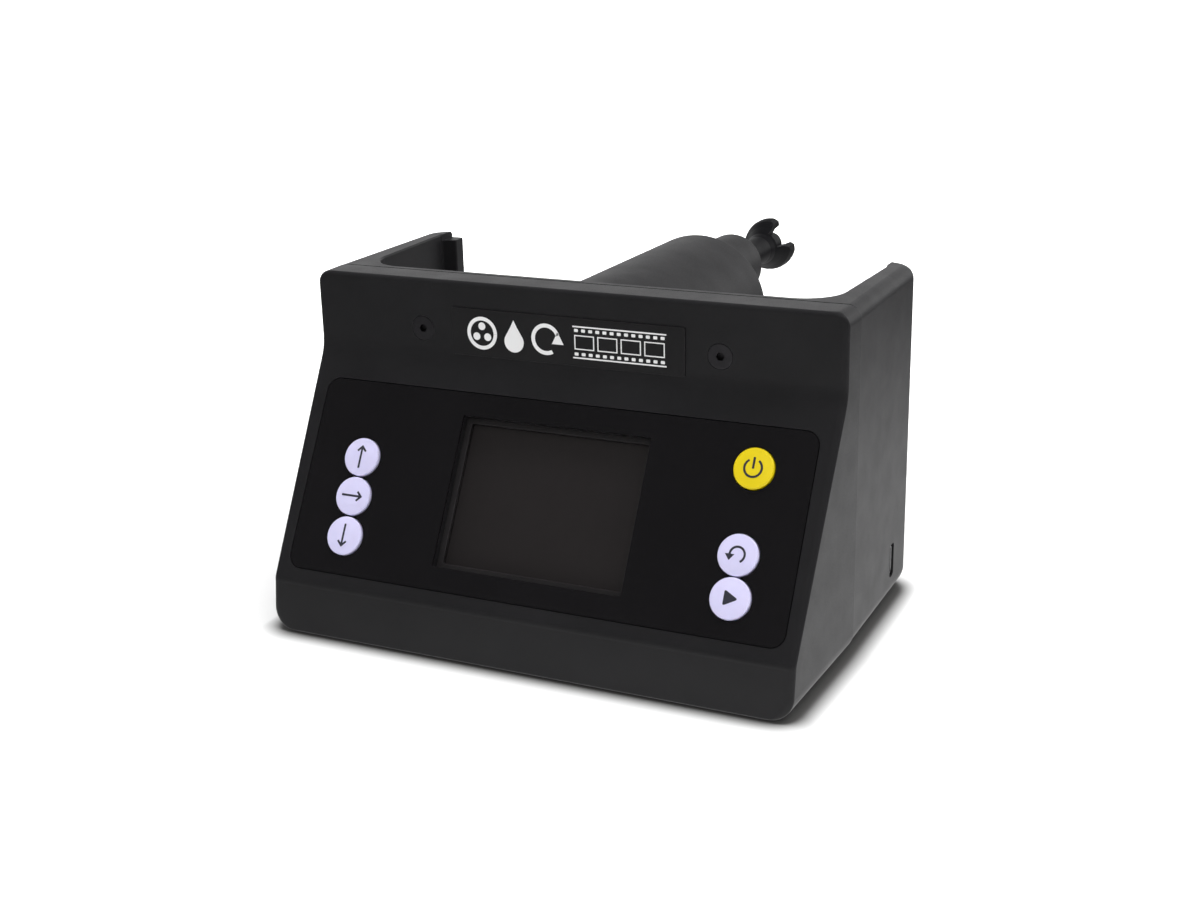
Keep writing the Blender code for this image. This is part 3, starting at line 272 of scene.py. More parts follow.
def turned(profile, steps):
    """The closed profile of (radius, height) points, turned about Z. Radius 0 is one point on the axis."""
    points = []
    rings = []
    for radius, height in profile:
        if radius <= 0:
            rings.append([len(points)] * steps)
            points.append((0.0, 0.0, height))
            continue
        rings.append(list(range(len(points), len(points) + steps)))
        for i in range(steps):
            angle = tau * i / steps
            points.append((radius * cos(angle), radius * sin(angle), height))
    faces = []
    for ring, after in zip(rings, rings[1:] + rings[:1]):
        if ring[0] == ring[-1] and after[0] == after[-1]:
            continue
        for i in range(steps):
            j = (i + 1) % steps
            corners = [ring[i], ring[j], after[j], after[i]]
            faces.append(tuple(dict.fromkeys(corners)))
    return points, faces


def rod(radius, low, high, steps=32):
    return turned([(0, low), (radius, low), (radius, high), (0, high)], steps)


def moved(solid, offset=(0, 0, 0), turn=None):
    matrix = Matrix.Translation(offset)
    if turn:
        matrix = matrix @ turn
    points, faces = solid
    return [tuple(matrix @ Vector(p)) for p in points], faces


def together(*solids):
    """Separate solids as one mesh."""
    points = []
    faces = []
    for some_points, some_faces in solids:
        start = len(points)
        points += some_points
        faces += [tuple(start + i for i in face) for face in some_faces]
    return points, faces


ALONG_Y = Matrix.Rotation(-pi / 2, 4, "X")  # turns a solid made along Z to lie along +Y
ALONG_MINUS_Y = Matrix.Rotation(pi / 2, 4, "X")


def along_y(solid, x, z):
    return moved(solid, (x, 0, z), ALONG_Y)


def on_panel(solid, x=0.0, y=0.0):
    """A solid made at the panel's origin, put at its place on the panel."""
    return moved(moved(solid, (x, y, 0)), (0, 0, 0), PANEL)


# Pieces

def add_object(name, solid):
    points, faces = solid
    mesh = bpy.data.meshes.new(name)
    body = bmesh.new()
    corners = [body.verts.new(p) for p in points]
    for face in faces:
        body.faces.new([corners[i] for i in face])
    bmesh.ops.recalc_face_normals(body, faces=body.faces)
    body.to_mesh(mesh)
    body.free()
    obj = bpy.data.objects.new(name, mesh)
    bpy.context.scene.collection.objects.link(obj)
    return obj


def apply_modifiers(obj):
    graph = bpy.context.evaluated_depsgraph_get()
    mesh = bpy.data.meshes.new_from_object(obj.evaluated_get(graph), depsgraph=graph)
    obj.modifiers.clear()
    obj.data = mesh


def shape_with(obj, operation, *solids):
    """Joins solids to the object, or cuts them away, one after another."""
    for solid in solids:
        tool = add_object("tool", solid)
        modifier = obj.modifiers.new("shape", "BOOLEAN")
        modifier.operation = operation
        modifier.solver = "EXACT"
        modifier.object = tool
        apply_modifiers(obj)
        bpy.data.objects.remove(tool)


def cut(obj, *solids):
    shape_with(obj, "DIFFERENCE", *solids)


def join(obj, *solids):
    shape_with(obj, "UNION", *solids)


def soften(obj, width, segments=2, angle=35):
    """Cleans up after the cuts, then rounds the sharp edges."""
    body = bmesh.new()
    body.from_mesh(obj.data)
    bmesh.ops.remove_doubles(body, verts=body.verts, dist=0.002 * MM)
    bmesh.ops.dissolve_degenerate(body, edges=body.edges, dist=0.002 * MM)
    body.to_mesh(obj.data)
    body.free()
    add_bevel(obj, width, segments, angle)
    apply_modifiers(obj)


def add_bevel(obj, width, segments, angle):
    """Rounds every edge sharper than this angle."""
    modifier = obj.modifiers.new("edges", "BEVEL")
    modifier.width = width
    modifier.segments = segments
    modifier.limit_method = "ANGLE"
    modifier.angle_limit = radians(angle)


def even_shading(obj):
    """Shading that keeps flat faces flat and sharp edges sharp."""
    modifier = obj.modifiers.new("even_shading", "WEIGHTED_NORMAL")
    modifier.keep_sharp = True


def paint(obj, slot, look=None):
    obj.data.materials.clear()
    obj.data.materials.append(look or MATERIALS[slot])


def finish_piece(obj, slot, body="case", stands_for=None, smooth=40, look=None):
    """Puts a piece in the frame's axes, gives it its material and ties it to its CAD body.

    stands_for is the CAD node that the piece replaces; smooth is the angle in degrees above which an
    edge looks sharp.
    """
    obj.data.transform(Matrix.Translation(SEAM_PLACE))
    paint(obj, slot, look)
    obj.data.shade_smooth()
    obj.data.set_sharp_from_angle(angle=radians(smooth))
    even_shading(obj)
    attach(obj, body)
    if stands_for:
        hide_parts(stands_for)


# Materials

class Look:
    """The nodes of a material or the world, and short ways to add to them."""

    def __init__(self, owner):
        owner.use_nodes = True
        self.owner = owner
        self.tree = owner.node_tree
        self.shader = self.tree.nodes.get("Principled BSDF")
        self.coordinates = self.add("TexCoord").outputs
        self.place = self.coordinates["Object"]

    def feed(self, socket, value):
        if isinstance(value, bpy.types.NodeSocket):
            self.tree.links.new(value, socket)
        else:
            socket.default_value = value

    def add(self, kind, inputs=None, **settings):
        """A shader node with its inputs set, or linked where the value is another node's output."""
        made = self.tree.nodes.new("ShaderNode" + kind)
        for key, value in settings.items():
            setattr(made, key, value)
        for key, value in (inputs or {}).items():
            self.feed(made.inputs[key], value)
        return made

    def set(self, name, value):
        """Sets or links one of the shader's inputs."""
        self.feed(self.shader.inputs[name], value)

    def noise(self, size, detail=3.0, roughness=0.55, place=None):
        """Noise whose grains are about this size."""
        return self.add("TexNoise", {
            "Vector": place or self.place, "Scale": 1 / size, "Detail": detail, "Roughness": roughness,
        }).outputs["Fac"]

    def between(self, value, low, high, from_low=0.3, from_high=0.7):
        """The value's middle range spread from low to high."""
        return self.add("MapRange", {
            "Value": value, "From Min": from_low, "From Max": from_high, "To Min": low, "To Max": high,
        }).outputs["Result"]

    def mixed(self, share, first, second):
        return self.add("Mix", {0: share, 6: first, 7: second}, data_type="RGBA").outputs[2]

    def product(self, first, second):
        return self.add("Math", {0: first, 1: second}, operation="MULTIPLY").outputs[0]

    def bump(self, strength, depth, height):
        made = self.add("Bump", {"Strength": strength, "Distance": depth, "Height": height})
        self.set("Normal", made.outputs["Normal"])

    def worn_edges(self, radius, share):
        """How far a spot has been rubbed: high on broken stretches of convex and concave edges."""
        rounded_normal = self.add("Bevel", {"Radius": radius}, samples=4).outputs["Normal"]
        normal = self.add("NewGeometry").outputs["Normal"]
        both = {0: rounded_normal, 1: normal}
        same = self.add("VectorMath", both, operation="DOT_PRODUCT").outputs["Value"]
        edge = self.between(same, share, 0.0, 0.93, 0.999)
        return self.product(edge, self.between(self.noise(2 * MM), 0.35, 1.0))


def tone(colour, factor):
    return (*[min(1.0, c * factor) for c in colour], 1.0)


def moulded(look, colour, roughness, grain=0.3 * MM, depth=0.006 * MM, level=0.3):
    """Moulded plastic with a fine spark-eroded grain."""
    fine = look.noise(grain, 2.0, 0.7)
    broad = look.noise(22 * MM)
    base = look.mixed(look.between(broad, 0, 1), tone(colour, 0.9), tone(colour, 1.12))
    speckled = look.mixed(look.between(fine, 0, 0.22, 0.5, 0.75), base, tone(colour, 1.9))
    rubbed = look.worn_edges(0.45 * MM, 0.3)
    look.set("Base Color", look.mixed(rubbed, speckled, tone(colour, 2.6)))
    even = look.between(fine, roughness - 0.05, roughness + 0.05)
    handled = look.between(look.noise(9 * MM, 4.0), -0.03, 0.03)
    total = look.add("Math", {0: even, 1: handled}, operation="ADD").outputs[0]
    look.set("Roughness", total)
    look.set("Specular IOR Level", level)
    look.bump(0.6, depth, fine)


def gloss(look, colour, roughness):
    """A smooth glossy sheet or glass, with faint wipe marks and a very slight ripple."""
    marks = look.noise(4 * MM, 5.0, 0.65)
    base = look.mixed(look.between(look.noise(30 * MM), 0, 1), tone(colour, 0.92), tone(colour, 1.1))
    look.set("Base Color", base)
    look.set("Roughness", look.between(marks, roughness - 0.03, roughness + 0.06))
    look.set("Specular IOR Level", 0.4)
    look.bump(0.3, 0.002 * MM, look.noise(2.5 * MM))


def display_area(look, colour):
    """The display's lit area, switched off: dark film with a grid of cells 0.14 mm apart."""
    across = look.add("Mapping", {"Vector": look.place, "Rotation": (SLOPE - pi / 2, 0, 0)})
    grid = look.add("TexBrick", {
        "Vector": across.outputs["Vector"], "Scale": 1.0, "Mortar Size": 0.012 * MM,
        "Brick Width": 0.14 * MM, "Row Height": 0.14 * MM, "Color1": tone(colour, 1.0),
        "Color2": tone(colour, 1.05), "Mortar": tone(colour, 0.85),
    }, offset=0.0).outputs["Color"]
    haze = look.between(look.noise(25 * MM, 1.0), 0, 0.3)
    look.set("Base Color", look.mixed(haze, grid, tone(colour, 1.15)))
    look.set("Roughness", look.between(look.noise(12 * MM, 1.0), 0.29, 0.34))
    look.set("Specular IOR Level", 0.35)


def metal(look, colour, roughness):
    """Machined metal: fine tool marks round Y, small stains and bright edges."""
    along = look.add("Mapping", {"Vector": look.place, "Scale": (1, 18, 1)}).outputs["Vector"]
    marks = look.noise(1.2 * MM, 3.0, 0.6, along)
    stains = look.between(look.noise(5 * MM, 4.0), 0, 0.5, 0.45, 0.75)
    base = look.mixed(stains, tone(colour, 1.0), tone(colour, 0.62))
    rubbed = look.worn_edges(0.3 * MM, 0.5)
    look.set("Base Color", look.mixed(rubbed, base, tone(colour, 1.5)))
    look.set("Metallic", 1.0)
    look.set("Roughness", look.between(marks, roughness - 0.07, roughness + 0.1))
    look.bump(0.5, 0.002 * MM, marks)


def cap(look, colour, roughness=0.38):
    """A satin translucent cap: pale colour that glows a little inside, with a soft skin."""
    broad = look.between(look.noise(6 * MM), 0, 1)
    base = look.mixed(broad, tone(colour, 0.97), tone(colour, 1.03))
    rubbed = look.worn_edges(0.3 * MM, 0.25)
    look.set("Base Color", look.mixed(rubbed, base, tone(colour, 1.1)))
    look.set("Subsurface Weight", 0.15)
    look.set("Subsurface Radius", (1.0, 0.8, 0.7))
    look.set("Subsurface Scale", 0.6 * MM)
    look.set("Roughness", look.between(look.noise(0.25 * MM), roughness - 0.04, roughness + 0.06))
    look.bump(0.4, 0.003 * MM, look.noise(0.3 * MM))


def ink(look, colour, roughness=0.5):
    """Screen-printed ink: almost solid, with tiny pinholes and an uneven skin."""
    holes = look.between(look.noise(0.12 * MM, 2.0), 0, 0.25, 0.6, 0.75)
    look.set("Base Color", look.mixed(holes, tone(colour, 1.0), tone(colour, 0.7)))
    look.set("Roughness", look.between(look.noise(0.4 * MM), roughness, roughness + 0.1))


def circuit(look, colour):
    """Solder mask over copper traces, with a drilled look from small bright pads."""
    cell = {"Vector": look.place, "Scale": 1 / (3 * MM)}
    borders = look.add("TexVoronoi", cell, feature="DISTANCE_TO_EDGE", distance="EUCLIDEAN")
    traces = look.between(borders.outputs["Distance"], 1, 0, 0.04, 0.07)
    pads = look.add("TexVoronoi", {"Vector": look.place, "Scale": 1 / (5 * MM)}).outputs["Distance"]
    pad = look.between(pads, 1, 0, 0.1, 0.13)
    masked = look.mixed(traces, tone(colour, 1.0), tone(colour, 1.7))
    look.set("Base Color", look.mixed(pad, masked, (0.7, 0.62, 0.42, 1)))
    look.set("Metallic", pad)
    look.set("Roughness", look.between(look.noise(2 * MM), 0.28, 0.42))
    look.bump(0.5, 0.03 * MM, traces)


def soft_skin(look, colour, roughness, grain, depth):
    """Rubber, wire insulation or shrink wrap: dull colour with a fine uneven skin."""
    fine = look.noise(grain, 4.0)
    dusty = look.between(look.noise(4 * MM, 4.0), 0, 0.5, 0.45, 0.75)
    look.set("Base Color", look.mixed(dusty, tone(colour, 1.0), tone(colour, 1.7)))
    look.set("Roughness", look.between(fine, roughness - 0.08, roughness + 0.08))
    look.set("Sheen Weight", 0.05)
    look.bump(0.6, depth, fine)


def material(name, recipe, *values, **options):
    look = Look(bpy.data.materials.new(name))
    recipe(look, *values, **options)
    return look.owner


RECIPES = {
    "case_plastic": (moulded, (0.0135, 0.0131, 0.0143), 0.42),
    "housing_plastic": (moulded, (0.0145, 0.0141, 0.0152), 0.48, 0.35 * MM, 0.008 * MM),
    "badge_plastic": (moulded, (0.0128, 0.0123, 0.0133), 0.4, 0.2 * MM, 0.002 * MM),
    "panel_gloss": (gloss, (0.0062, 0.0057, 0.0065), 0.2),
    "display_trim": (moulded, (0.0195, 0.018, 0.0188), 0.5, 0.15 * MM, 0.002 * MM),
    "display_glass": (gloss, (0.016, 0.0145, 0.015), 0.14),
    "circuit_board": (circuit, (0.015, 0.12, 0.045)),
    "key_cap": (cap, (0.675, 0.65, 0.9)),
    "power_cap": (cap, (0.8, 0.625, 0.0035)),
    "component_black": (moulded, (0.02, 0.02, 0.022), 0.5, 0.2 * MM),
    "rubber": (soft_skin, (0.018, 0.018, 0.019), 0.8, 0.3 * MM, 0.02 * MM),
    "black_screw": (metal, (0.1, 0.097, 0.104), 0.5),
    "steel": (metal, (0.56, 0.56, 0.57), 0.3),
    "brass": (metal, (0.68, 0.5, 0.22), 0.32),
    "battery_wrap": (soft_skin, (0.03, 0.09, 0.26), 0.35, 1.5 * MM, 0.03 * MM),
    "red_cable": (soft_skin, (0.42, 0.02, 0.015), 0.45, 0.5 * MM, 0.01 * MM),
    "black_cable": (soft_skin, (0.02, 0.02, 0.02), 0.45, 0.5 * MM, 0.01 * MM),
}
MATERIALS = {name: material(name, *recipe) for name, recipe in RECIPES.items()}
DARK_INK = material("dark_ink", ink, (0.03, 0.03, 0.045))
WHITE_INK = material("white_ink", ink, (0.86, 0.86, 0.86))
DISPLAY_AREA = material("display_area", display_area, (0.0185, 0.016, 0.0163))
CROWN_PLASTIC = material(
    "crown_plastic", moulded, (0.0042, 0.0041, 0.005), 0.45, 0.3 * MM, 0.004 * MM, level=0.1)


# Front shell

def half_width(y):
    """Half the front shell's width at y."""
    return HALF_WIDTH + SIDE_PROUD - SIDE_DRAFT * abs(min(y, 0.0))


def face_levels(inset, steps):
    """The front face's (y, z) points at the rounded crease and waist, moved inwards by inset."""
    rise = tan(SLOPE)
    shift = inset / cos(SLOPE)
    upper = UPPER_FACE_Y + inset
    chin = CHIN_Y + inset
    waist_z = WAIST_Z - (shift - inset) / rise
    crease_z = WAIST_Z - (UPPER_FACE_Y + shift - chin) / rise
    corners = [(chin, CASE_BOTTOM), (chin, crease_z), (upper, waist_z), (upper, CASE_TOP)]
    radii = [0, max(CREASE_RADIUS - inset, MM), WAIST_RADIUS + inset, 0]
    return rounded(corners, radii, steps, closed=False)[1:-1]


def plan_outline(face_y, back_y, inset, corner, steps):
    """One level of the front shell from above, right to left, with its two upright front edges rounded."""
    across, deep = corner
    side_x = half_width(face_y) - inset
    points = [(half_width(back_y) - inset, back_y)]
    for i in range(steps + 1):
        angle = -pi / 2 * i / steps
        points.append((side_x - across * (1 - cos(angle)), face_y + deep * (1 + sin(angle))))
    return points + [(-x, y) for x, y in reversed(points)]


def tuck(z, low, high, low_radius, high_radius):
    """How far an upright face has drawn in at this height, where it rounds over to the bottom or the top."""
    for radius, reach in ((low_radius, low + low_radius - z), (high_radius, z - high + high_radius)):
        if reach > 0:
            return radius - sqrt(max(radius**2 - reach**2, 0.0))
    return 0.0


def edge_heights(low, high, low_radii, high_radii, others=()):
    """Heights at which an outline changes: round its lower and upper edges, and at any others."""
    turns = [pi / 2 * i / 10 for i in range(11)]
    heights = set(others)
    for radius in low_radii:
        heights |= {low + radius * (1 - sin(turn)) for turn in turns}
    for radius in high_radii:
        heights |= {high - radius * (1 - sin(turn)) for turn in turns}
    kept = []
    for height in sorted(heights):
        if not kept or height - kept[-1] > 0.01 * MM:
            kept.append(height)
    return kept


def face_y(levels, z):
    """The front face's y at height z, between the levels given from the crease up."""
    if z <= levels[0][1]:
        return levels[0][0]
    for (low_y, low_z), (high_y, high_z) in zip(levels, levels[1:]):
        if z <= high_z:
            return low_y + (high_y - low_y) * (z - low_z) / (high_z - low_z)
    return levels[-1][0]


def lean(z, crease_z):
    """How far the chin, which leans forwards below its crease, has come out at height z."""
    return CHIN_LEAN * max(crease_z - z, 0.0) / (crease_z - HEM)


def shell_rows(inset, bottom_z, top_z, back_y, steps):
    """Rings of points for the front shell, from its rounded bottom edge to its rounded top edge."""
    outer = inset == 0
    corner = (FRONT_EDGE_ACROSS, FRONT_EDGE_DEEP) if outer else (MM, MM)
    levels = face_levels(inset, steps)
    least = MM / 2
    sides = (BOTTOM_SIDE_RADIUS - inset, max(TOP_SIDE_RADIUS - inset, least))
    front = (max(BOTTOM_FRONT_RADIUS - inset, least), max(TOP_FRONT_RADIUS - inset, least))
    bottom_radii, top_radii = zip(sides, front)
    rows = []
    for z in edge_heights(bottom_z, top_z, bottom_radii, top_radii, [z for _, z in levels]):
        y = face_y(levels, z) + tuck(z, bottom_z, top_z, *front)
        if outer:
            y -= lean(z, levels[0][1])
        side_inset = inset + tuck(z, bottom_z, top_z, *sides)
        rows.append([(x, plan_y, z) for x, plan_y in plan_outline(y, back_y, side_inset, corner, steps)])
    return rows


def front_solid(inset, bottom_z, top_z, back_y, steps):
    """The front shell's outer form, or its inner one, as a closed solid with a flat back at back_y."""
    rows = shell_rows(inset, bottom_z, top_z, back_y, steps)
    wide = len(rows[0])
    points = [p for row in rows for p in row]
    faces = []
    for r in range(len(rows) - 1):
        for c in range(wide - 1):
            start = r * wide + c
            faces.append((start, start + 1, start + wide + 1, start + wide))
    last = (len(rows) - 1) * wide
    faces.append(tuple(range(wide)))
    faces.append(tuple(range(last, last + wide)))
    left_back = [r * wide + wide - 1 for r in range(len(rows))]
    right_back = [r * wide for r in range(len(rows))]
    faces.append(tuple(right_back + left_back[::-1]))
    return points, faces


def soften_seam(obj, y, radius):
    """Rounds the edge all round a shell's mating face, which lies in the plane at y."""
    body = bmesh.new()
    body.from_mesh(obj.data)

    def is_mating(face):
        return all(abs(v.co.y - y) < 0.001 * MM for v in face.verts)

    rim = [e for e in body.edges if len(e.link_faces) == 2 and sum(map(is_mating, e.link_faces)) == 1]
    bmesh.ops.bevel(
        body, geom=rim, offset=radius, segments=4, profile=0.5, affect="EDGES", clamp_overlap=True)
    body.to_mesh(obj.data)
    body.free()


def add_front_shell():
    shell = add_object("case_front", front_solid(0, HEM, CASE_TOP, -SEAM, 12))
    soften_seam(shell, -SEAM, FRONT_SEAM_EDGE)
    inner = front_solid(WALL, CASE_BOTTOM + FLOOR, CASE_TOP - WALL, 2 * MM, 5)
    cut(shell, inner)

    recess = on_panel(prism(within(OVERLAY_LOW, OVERLAY_HIGH, -GAP, 4.3 * MM), -OVERLAY - GAP, 5 * MM))
    window = on_panel(prism(WINDOW, -6 * MM, 0))
    cut(shell, recess, window)
    hole = rod(BUTTON_RADIUS + GAP, -6 * MM, 4 * MM, 48)
    for place in KEY_PLACES.values():
        cut(shell, on_panel(hole, *place))

    around_badge = within(BADGE_LOW, BADGE_HIGH, -JOINT, 0.7 * MM, axis="Y")
    badge_recess = prism(around_badge, UPPER_FACE_Y - 5 * MM, UPPER_FACE_Y + 0.7 * MM, "Y")
    cone_end = UPPER_FACE_Y + SEAT_RADIUS - SEAT_BORE
    seat = [
        (0, -20 * MM), (SEAT_RADIUS, -20 * MM), (SEAT_RADIUS, UPPER_FACE_Y), (SEAT_BORE, cone_end),
        (SEAT_BORE, 0), (0, 0),
    ]
    cut(shell, badge_recess, *[along_y(turned(seat, 48), *spot) for spot in FRONT_SCREW_SPOTS])

    opening = block(-PLATE_X, PLATE_X, PLATE_FRONT, 5 * MM, -5 * MM, CASE_BOTTOM + FLOOR + GAP / 2)
    cut(shell, opening)
    soften(shell, 0.16 * MM)
    finish_piece(shell, "case_plastic", stands_for="front_shell")


# Rear shell

def rear_extent(z):
    """Half the rear shell's width, and the y of its back, at height z."""
    side = HALF_WIDTH - tuck(z, HEM, CASE_TOP, BOTTOM_SIDE_RADIUS, TOP_SIDE_RADIUS)
    back = REAR_Y - tuck(z, HEM, CASE_TOP, REAR_BOTTOM_RADIUS, REAR_TOP_RADIUS)
    return side, back


def wings_outline(z):
    """The rear shell above its deck: a web between two wings whose ends turn in as lips."""
    side, back = rear_extent(z)
    relief = tuck(z, HEM, CASE_TOP, 0, WING_EDGE)
    root = HALF_WIDTH - WING_ROOT + relief
    tip = HALF_WIDTH - WING_TIP + relief
    lip_x = LIP_X + relief
    lip_y = min(LIP_Y + relief, back - 2 * MM)
    web_y = GAP / 2 + WEB - relief
    right = [(side, SEAM), (side, back), (lip_x, back), (lip_x, lip_y), (tip, lip_y - 2 * MM), (root, web_y)]
    radii = [0, REAR_CORNER_RADIUS, 0.6 * MM, 0.9 * MM, 1.2 * MM, WING_FILLET]
    left = [(-x, y) for x, y in reversed(right)]
    return rounded(right + left, radii + radii[::-1], 8)


def base_outline(z):
    """The rear shell below its deck: a plain box."""
    side, back = rear_extent(z)
    corners = [(side, SEAM), (side, back), (-side, back), (-side, SEAM)]
    return rounded(corners, [0, REAR_CORNER_RADIUS, REAR_CORNER_RADIUS, 0], 8)


def stacked(outline, heights):
    """The solid whose outline changes with height."""
    rows = [[(x, y, z) for x, y in outline(z)] for z in heights]
    return [p for row in rows for p in row], ring_faces(len(rows[0]), len(rows))


def add_rear_shell():
    top_radii = (TOP_SIDE_RADIUS, REAR_TOP_RADIUS, WING_EDGE)
    wings = stacked(wings_outline, edge_heights(HEM, CASE_TOP, (), top_radii, [WING_FOOT]))
    bottom_radii = (BOTTOM_SIDE_RADIUS, REAR_BOTTOM_RADIUS)
    base = stacked(base_outline, edge_heights(HEM, CASE_TOP, bottom_radii, (), [DECK_Z]))
    shell = add_object("case_rear", wings)
    join(shell, base)

    inner = HALF_WIDTH - WING_TIP
    lip_low = LIP_X - 3 * MM
    lip_high = inner - 0.2 * MM
    above = (LIP_Y - 4 * MM, REAR_Y + 3 * MM)
    left = block(-lip_high, -lip_low, *above, LIP_TOP_LEFT, CASE_TOP + 2 * MM)
    right = block(lip_low, lip_high, *above, LIP_TOP_RIGHT, CASE_TOP + 2 * MM)
    cavity = block(-inner, inner, -MM, REAR_Y - 3.4 * MM, CASE_BOTTOM + FLOOR, DECK_Z - DECK)
    cut(shell, left, right, cavity)

    boss = rod(4 * MM, UPPER_FACE_Y + WALL + GAP, MM, 32)
    join(shell, *[along_y(boss, *spot) for spot in FRONT_SCREW_SPOTS])
    opening = block(-PLATE_X, PLATE_X, -5 * MM, PLATE_REAR, -5 * MM, CASE_BOTTOM + FLOOR + GAP / 2)
    passage = along_y(rod(HOUSING_BORE - GAP, -3 * MM, 8 * MM, 64), 0, MOTOR_Z)
    bore = rod(1.8 * MM, UPPER_FACE_Y, 0.8 * MM, 24)
    bores = [along_y(bore, *spot) for spot in FRONT_SCREW_SPOTS]
    low, high = case_box("usb_socket")
    slot = rectangle(low.y - 0.4 * MM, high.y + 0.4 * MM, low.z - 0.7 * MM, high.z + 0.7 * MM, 1.2 * MM)
    cut(shell, opening, passage, *bores, prism(slot, inner - 2 * MM, 2 * HALF_WIDTH, "X"))
    soften(shell, 0.2 * MM)
    finish_piece(shell, "case_plastic", stands_for="rear_shell")


# Control panel

def add_overlay():
    outline = within(OVERLAY_LOW, OVERLAY_HIGH, 0, 4 * MM, 10)
    sheet = add_object("overlay_sheet", on_panel(prism(outline, -OVERLAY, 0)))
    cut(sheet, on_panel(prism(WINDOW, -5 * MM, 5 * MM)))
    hole = rod(BUTTON_RADIUS + GAP, -5 * MM, 5 * MM, 64)
    for place in KEY_PLACES.values():
        cut(sheet, on_panel(hole, *place))
    soften(sheet, 0.1 * MM)
    finish_piece(sheet, "panel_gloss", stands_for="panel_overlay")


def add_display():
    border = DISPLAY_EDGE + 1.6 * MM
    frame_outline = within(BEZEL_LOW, BEZEL_HIGH, 0, 0.8 * MM)
    trim = add_object("display_frame", on_panel(prism(frame_outline, BEZEL_LOW.z, BEZEL_HIGH.z)))
    cut(trim, on_panel(prism(within(BEZEL_LOW, BEZEL_HIGH, border, 0.4 * MM), -10 * MM, 0)))
    soften(trim, 0.35 * MM)
    finish_piece(trim, "display_trim", stands_for="display_bezel")

    pane = within(GLASS_LOW, GLASS_HIGH, 0, 0.6 * MM)
    glass = add_object("display_screen", on_panel(prism(pane, GLASS_LOW.z, GLASS_HIGH.z)))
    soften(glass, 0.15 * MM)
    finish_piece(glass, "display_glass", stands_for="display_glass")
    area = within(GLASS_LOW, GLASS_HIGH, border, 0.3 * MM, 3)
    top = GLASS_HIGH.z
    film = add_object("display_area", on_panel(prism(area, top - 0.05 * MM, top + 0.03 * MM)))
    finish_piece(film, "display_glass", look=DISPLAY_AREA)


def arrow_outline(reach, head):
    """An upright arrow with an open head, as one outline."""
    half = STROKE / 2
    slant = STROKE / sqrt(2)
    neck = reach - STROKE * sqrt(2) - half
    right = [
        (half, -reach), (half, neck), (head - slant, reach - head - slant), (head, reach - head), (0, reach),
    ]
    left = [(-x, y) for x, y in reversed(right[:-1])]
    radii = [0.12 * MM, 0.05 * MM, 0.12 * MM, 0.12 * MM, 0.12 * MM]
    return rounded(right + left, radii + radii[-2::-1], 3)


def spun(outline, degrees):
    turn = radians(degrees)
    return [(x * cos(turn) - y * sin(turn), x * sin(turn) + y * cos(turn)) for x, y in outline]


def ring_part(radius, start, end, width=STROKE, steps=28):
    """Part of a ring, as an outline."""
    outer = arc((0, 0), radius + width / 2, radians(start), radians(end), steps)
    inner = arc((0, 0), radius - width / 2, radians(end), radians(start), steps)
    return outer + inner


def return_arrow(radius):
    """An open ring that ends in an arrowhead."""
    ring = ring_part(radius, -60, 180, steps=24)
    middle = len(ring) // 2
    head = 1.35 * MM
    tip = [(-radius - head, 0), (-radius, -1.3 * head), (-radius + head, 0)]
    return ring[:middle] + tip + ring[middle:]


def icon_outlines():
    """The symbol on each button, as outlines about the button's centre."""
    arrow = arrow_outline(3.45 * MM, 1.6 * MM)
    bar = rectangle(-STROKE / 2, STROKE / 2, -0.2 * MM, 3 * MM, 0.15 * MM, 3)
    play = rounded([(-1.6 * MM, -2.2 * MM), (2.5 * MM, 0), (-1.6 * MM, 2.2 * MM)], [0.35 * MM] * 3, 4)
    return {
        "up": [arrow], "select": [spun(arrow, -90)], "down": [spun(arrow, 180)],
        "power": [ring_part(2.45 * MM, 123, 417), bar], "back": [return_arrow(2.1 * MM)], "start": [play],
    }


def cap_profile(low, proud):
    """A button in section: a thin stem, a wide shoulder and a domed top."""
    stem = 1.7 * MM
    shoulder = TABS_TOP - 0.5 * MM
    rim = proud - DOME
    corners = [
        (0, low), (stem, low), (stem, shoulder), (BUTTON_RADIUS, shoulder), (BUTTON_RADIUS, rim - 0.1 * MM),
        (BUTTON_RADIUS - 1.6 * MM, rim + 0.1 * MM), (3 * MM, proud), (0, proud),
    ]
    return rounded(corners, [0, 0.2 * MM, 0, 0, 0.5 * MM, 6 * MM, 9 * MM, 0], 8, closed=False)


def add_buttons():
    for name, outlines in icon_outlines().items():
        low, high = panel_box("button_" + name)
        x, y = KEY_PLACES[name]
        key = add_object("key_" + name, on_panel(turned(cap_profile(low.z, high.z), 72), x, y))
        tabs = prism(rectangle(low.x - x, high.x - x, -5 * MM, 5 * MM, 0.8 * MM), TABS_TOP - MM, TABS_TOP)
        join(key, on_panel(tabs, x, y))
        slot = "power_cap" if name == "power" else "key_cap"
        finish_piece(key, slot, "key_" + name, "button_" + name)
        marks = [prism(outline, high.z - 0.1 * MM, high.z + ICON_PROUD) for outline in outlines]
        mark = add_object("key_mark_" + name, on_panel(together(*marks), x, y))
        finish_piece(mark, slot, "key_" + name, look=DARK_INK)


# Badge and front screws

def drop_outline(radius):
    """A drop of liquid: a round belly drawn up to a point."""
    belly = arc((0, 0), radius, radians(150), radians(390), 24)
    return belly + [(0.35 * radius, 1.35 * radius), (0, 2.05 * radius), (-0.35 * radius, 1.35 * radius)]


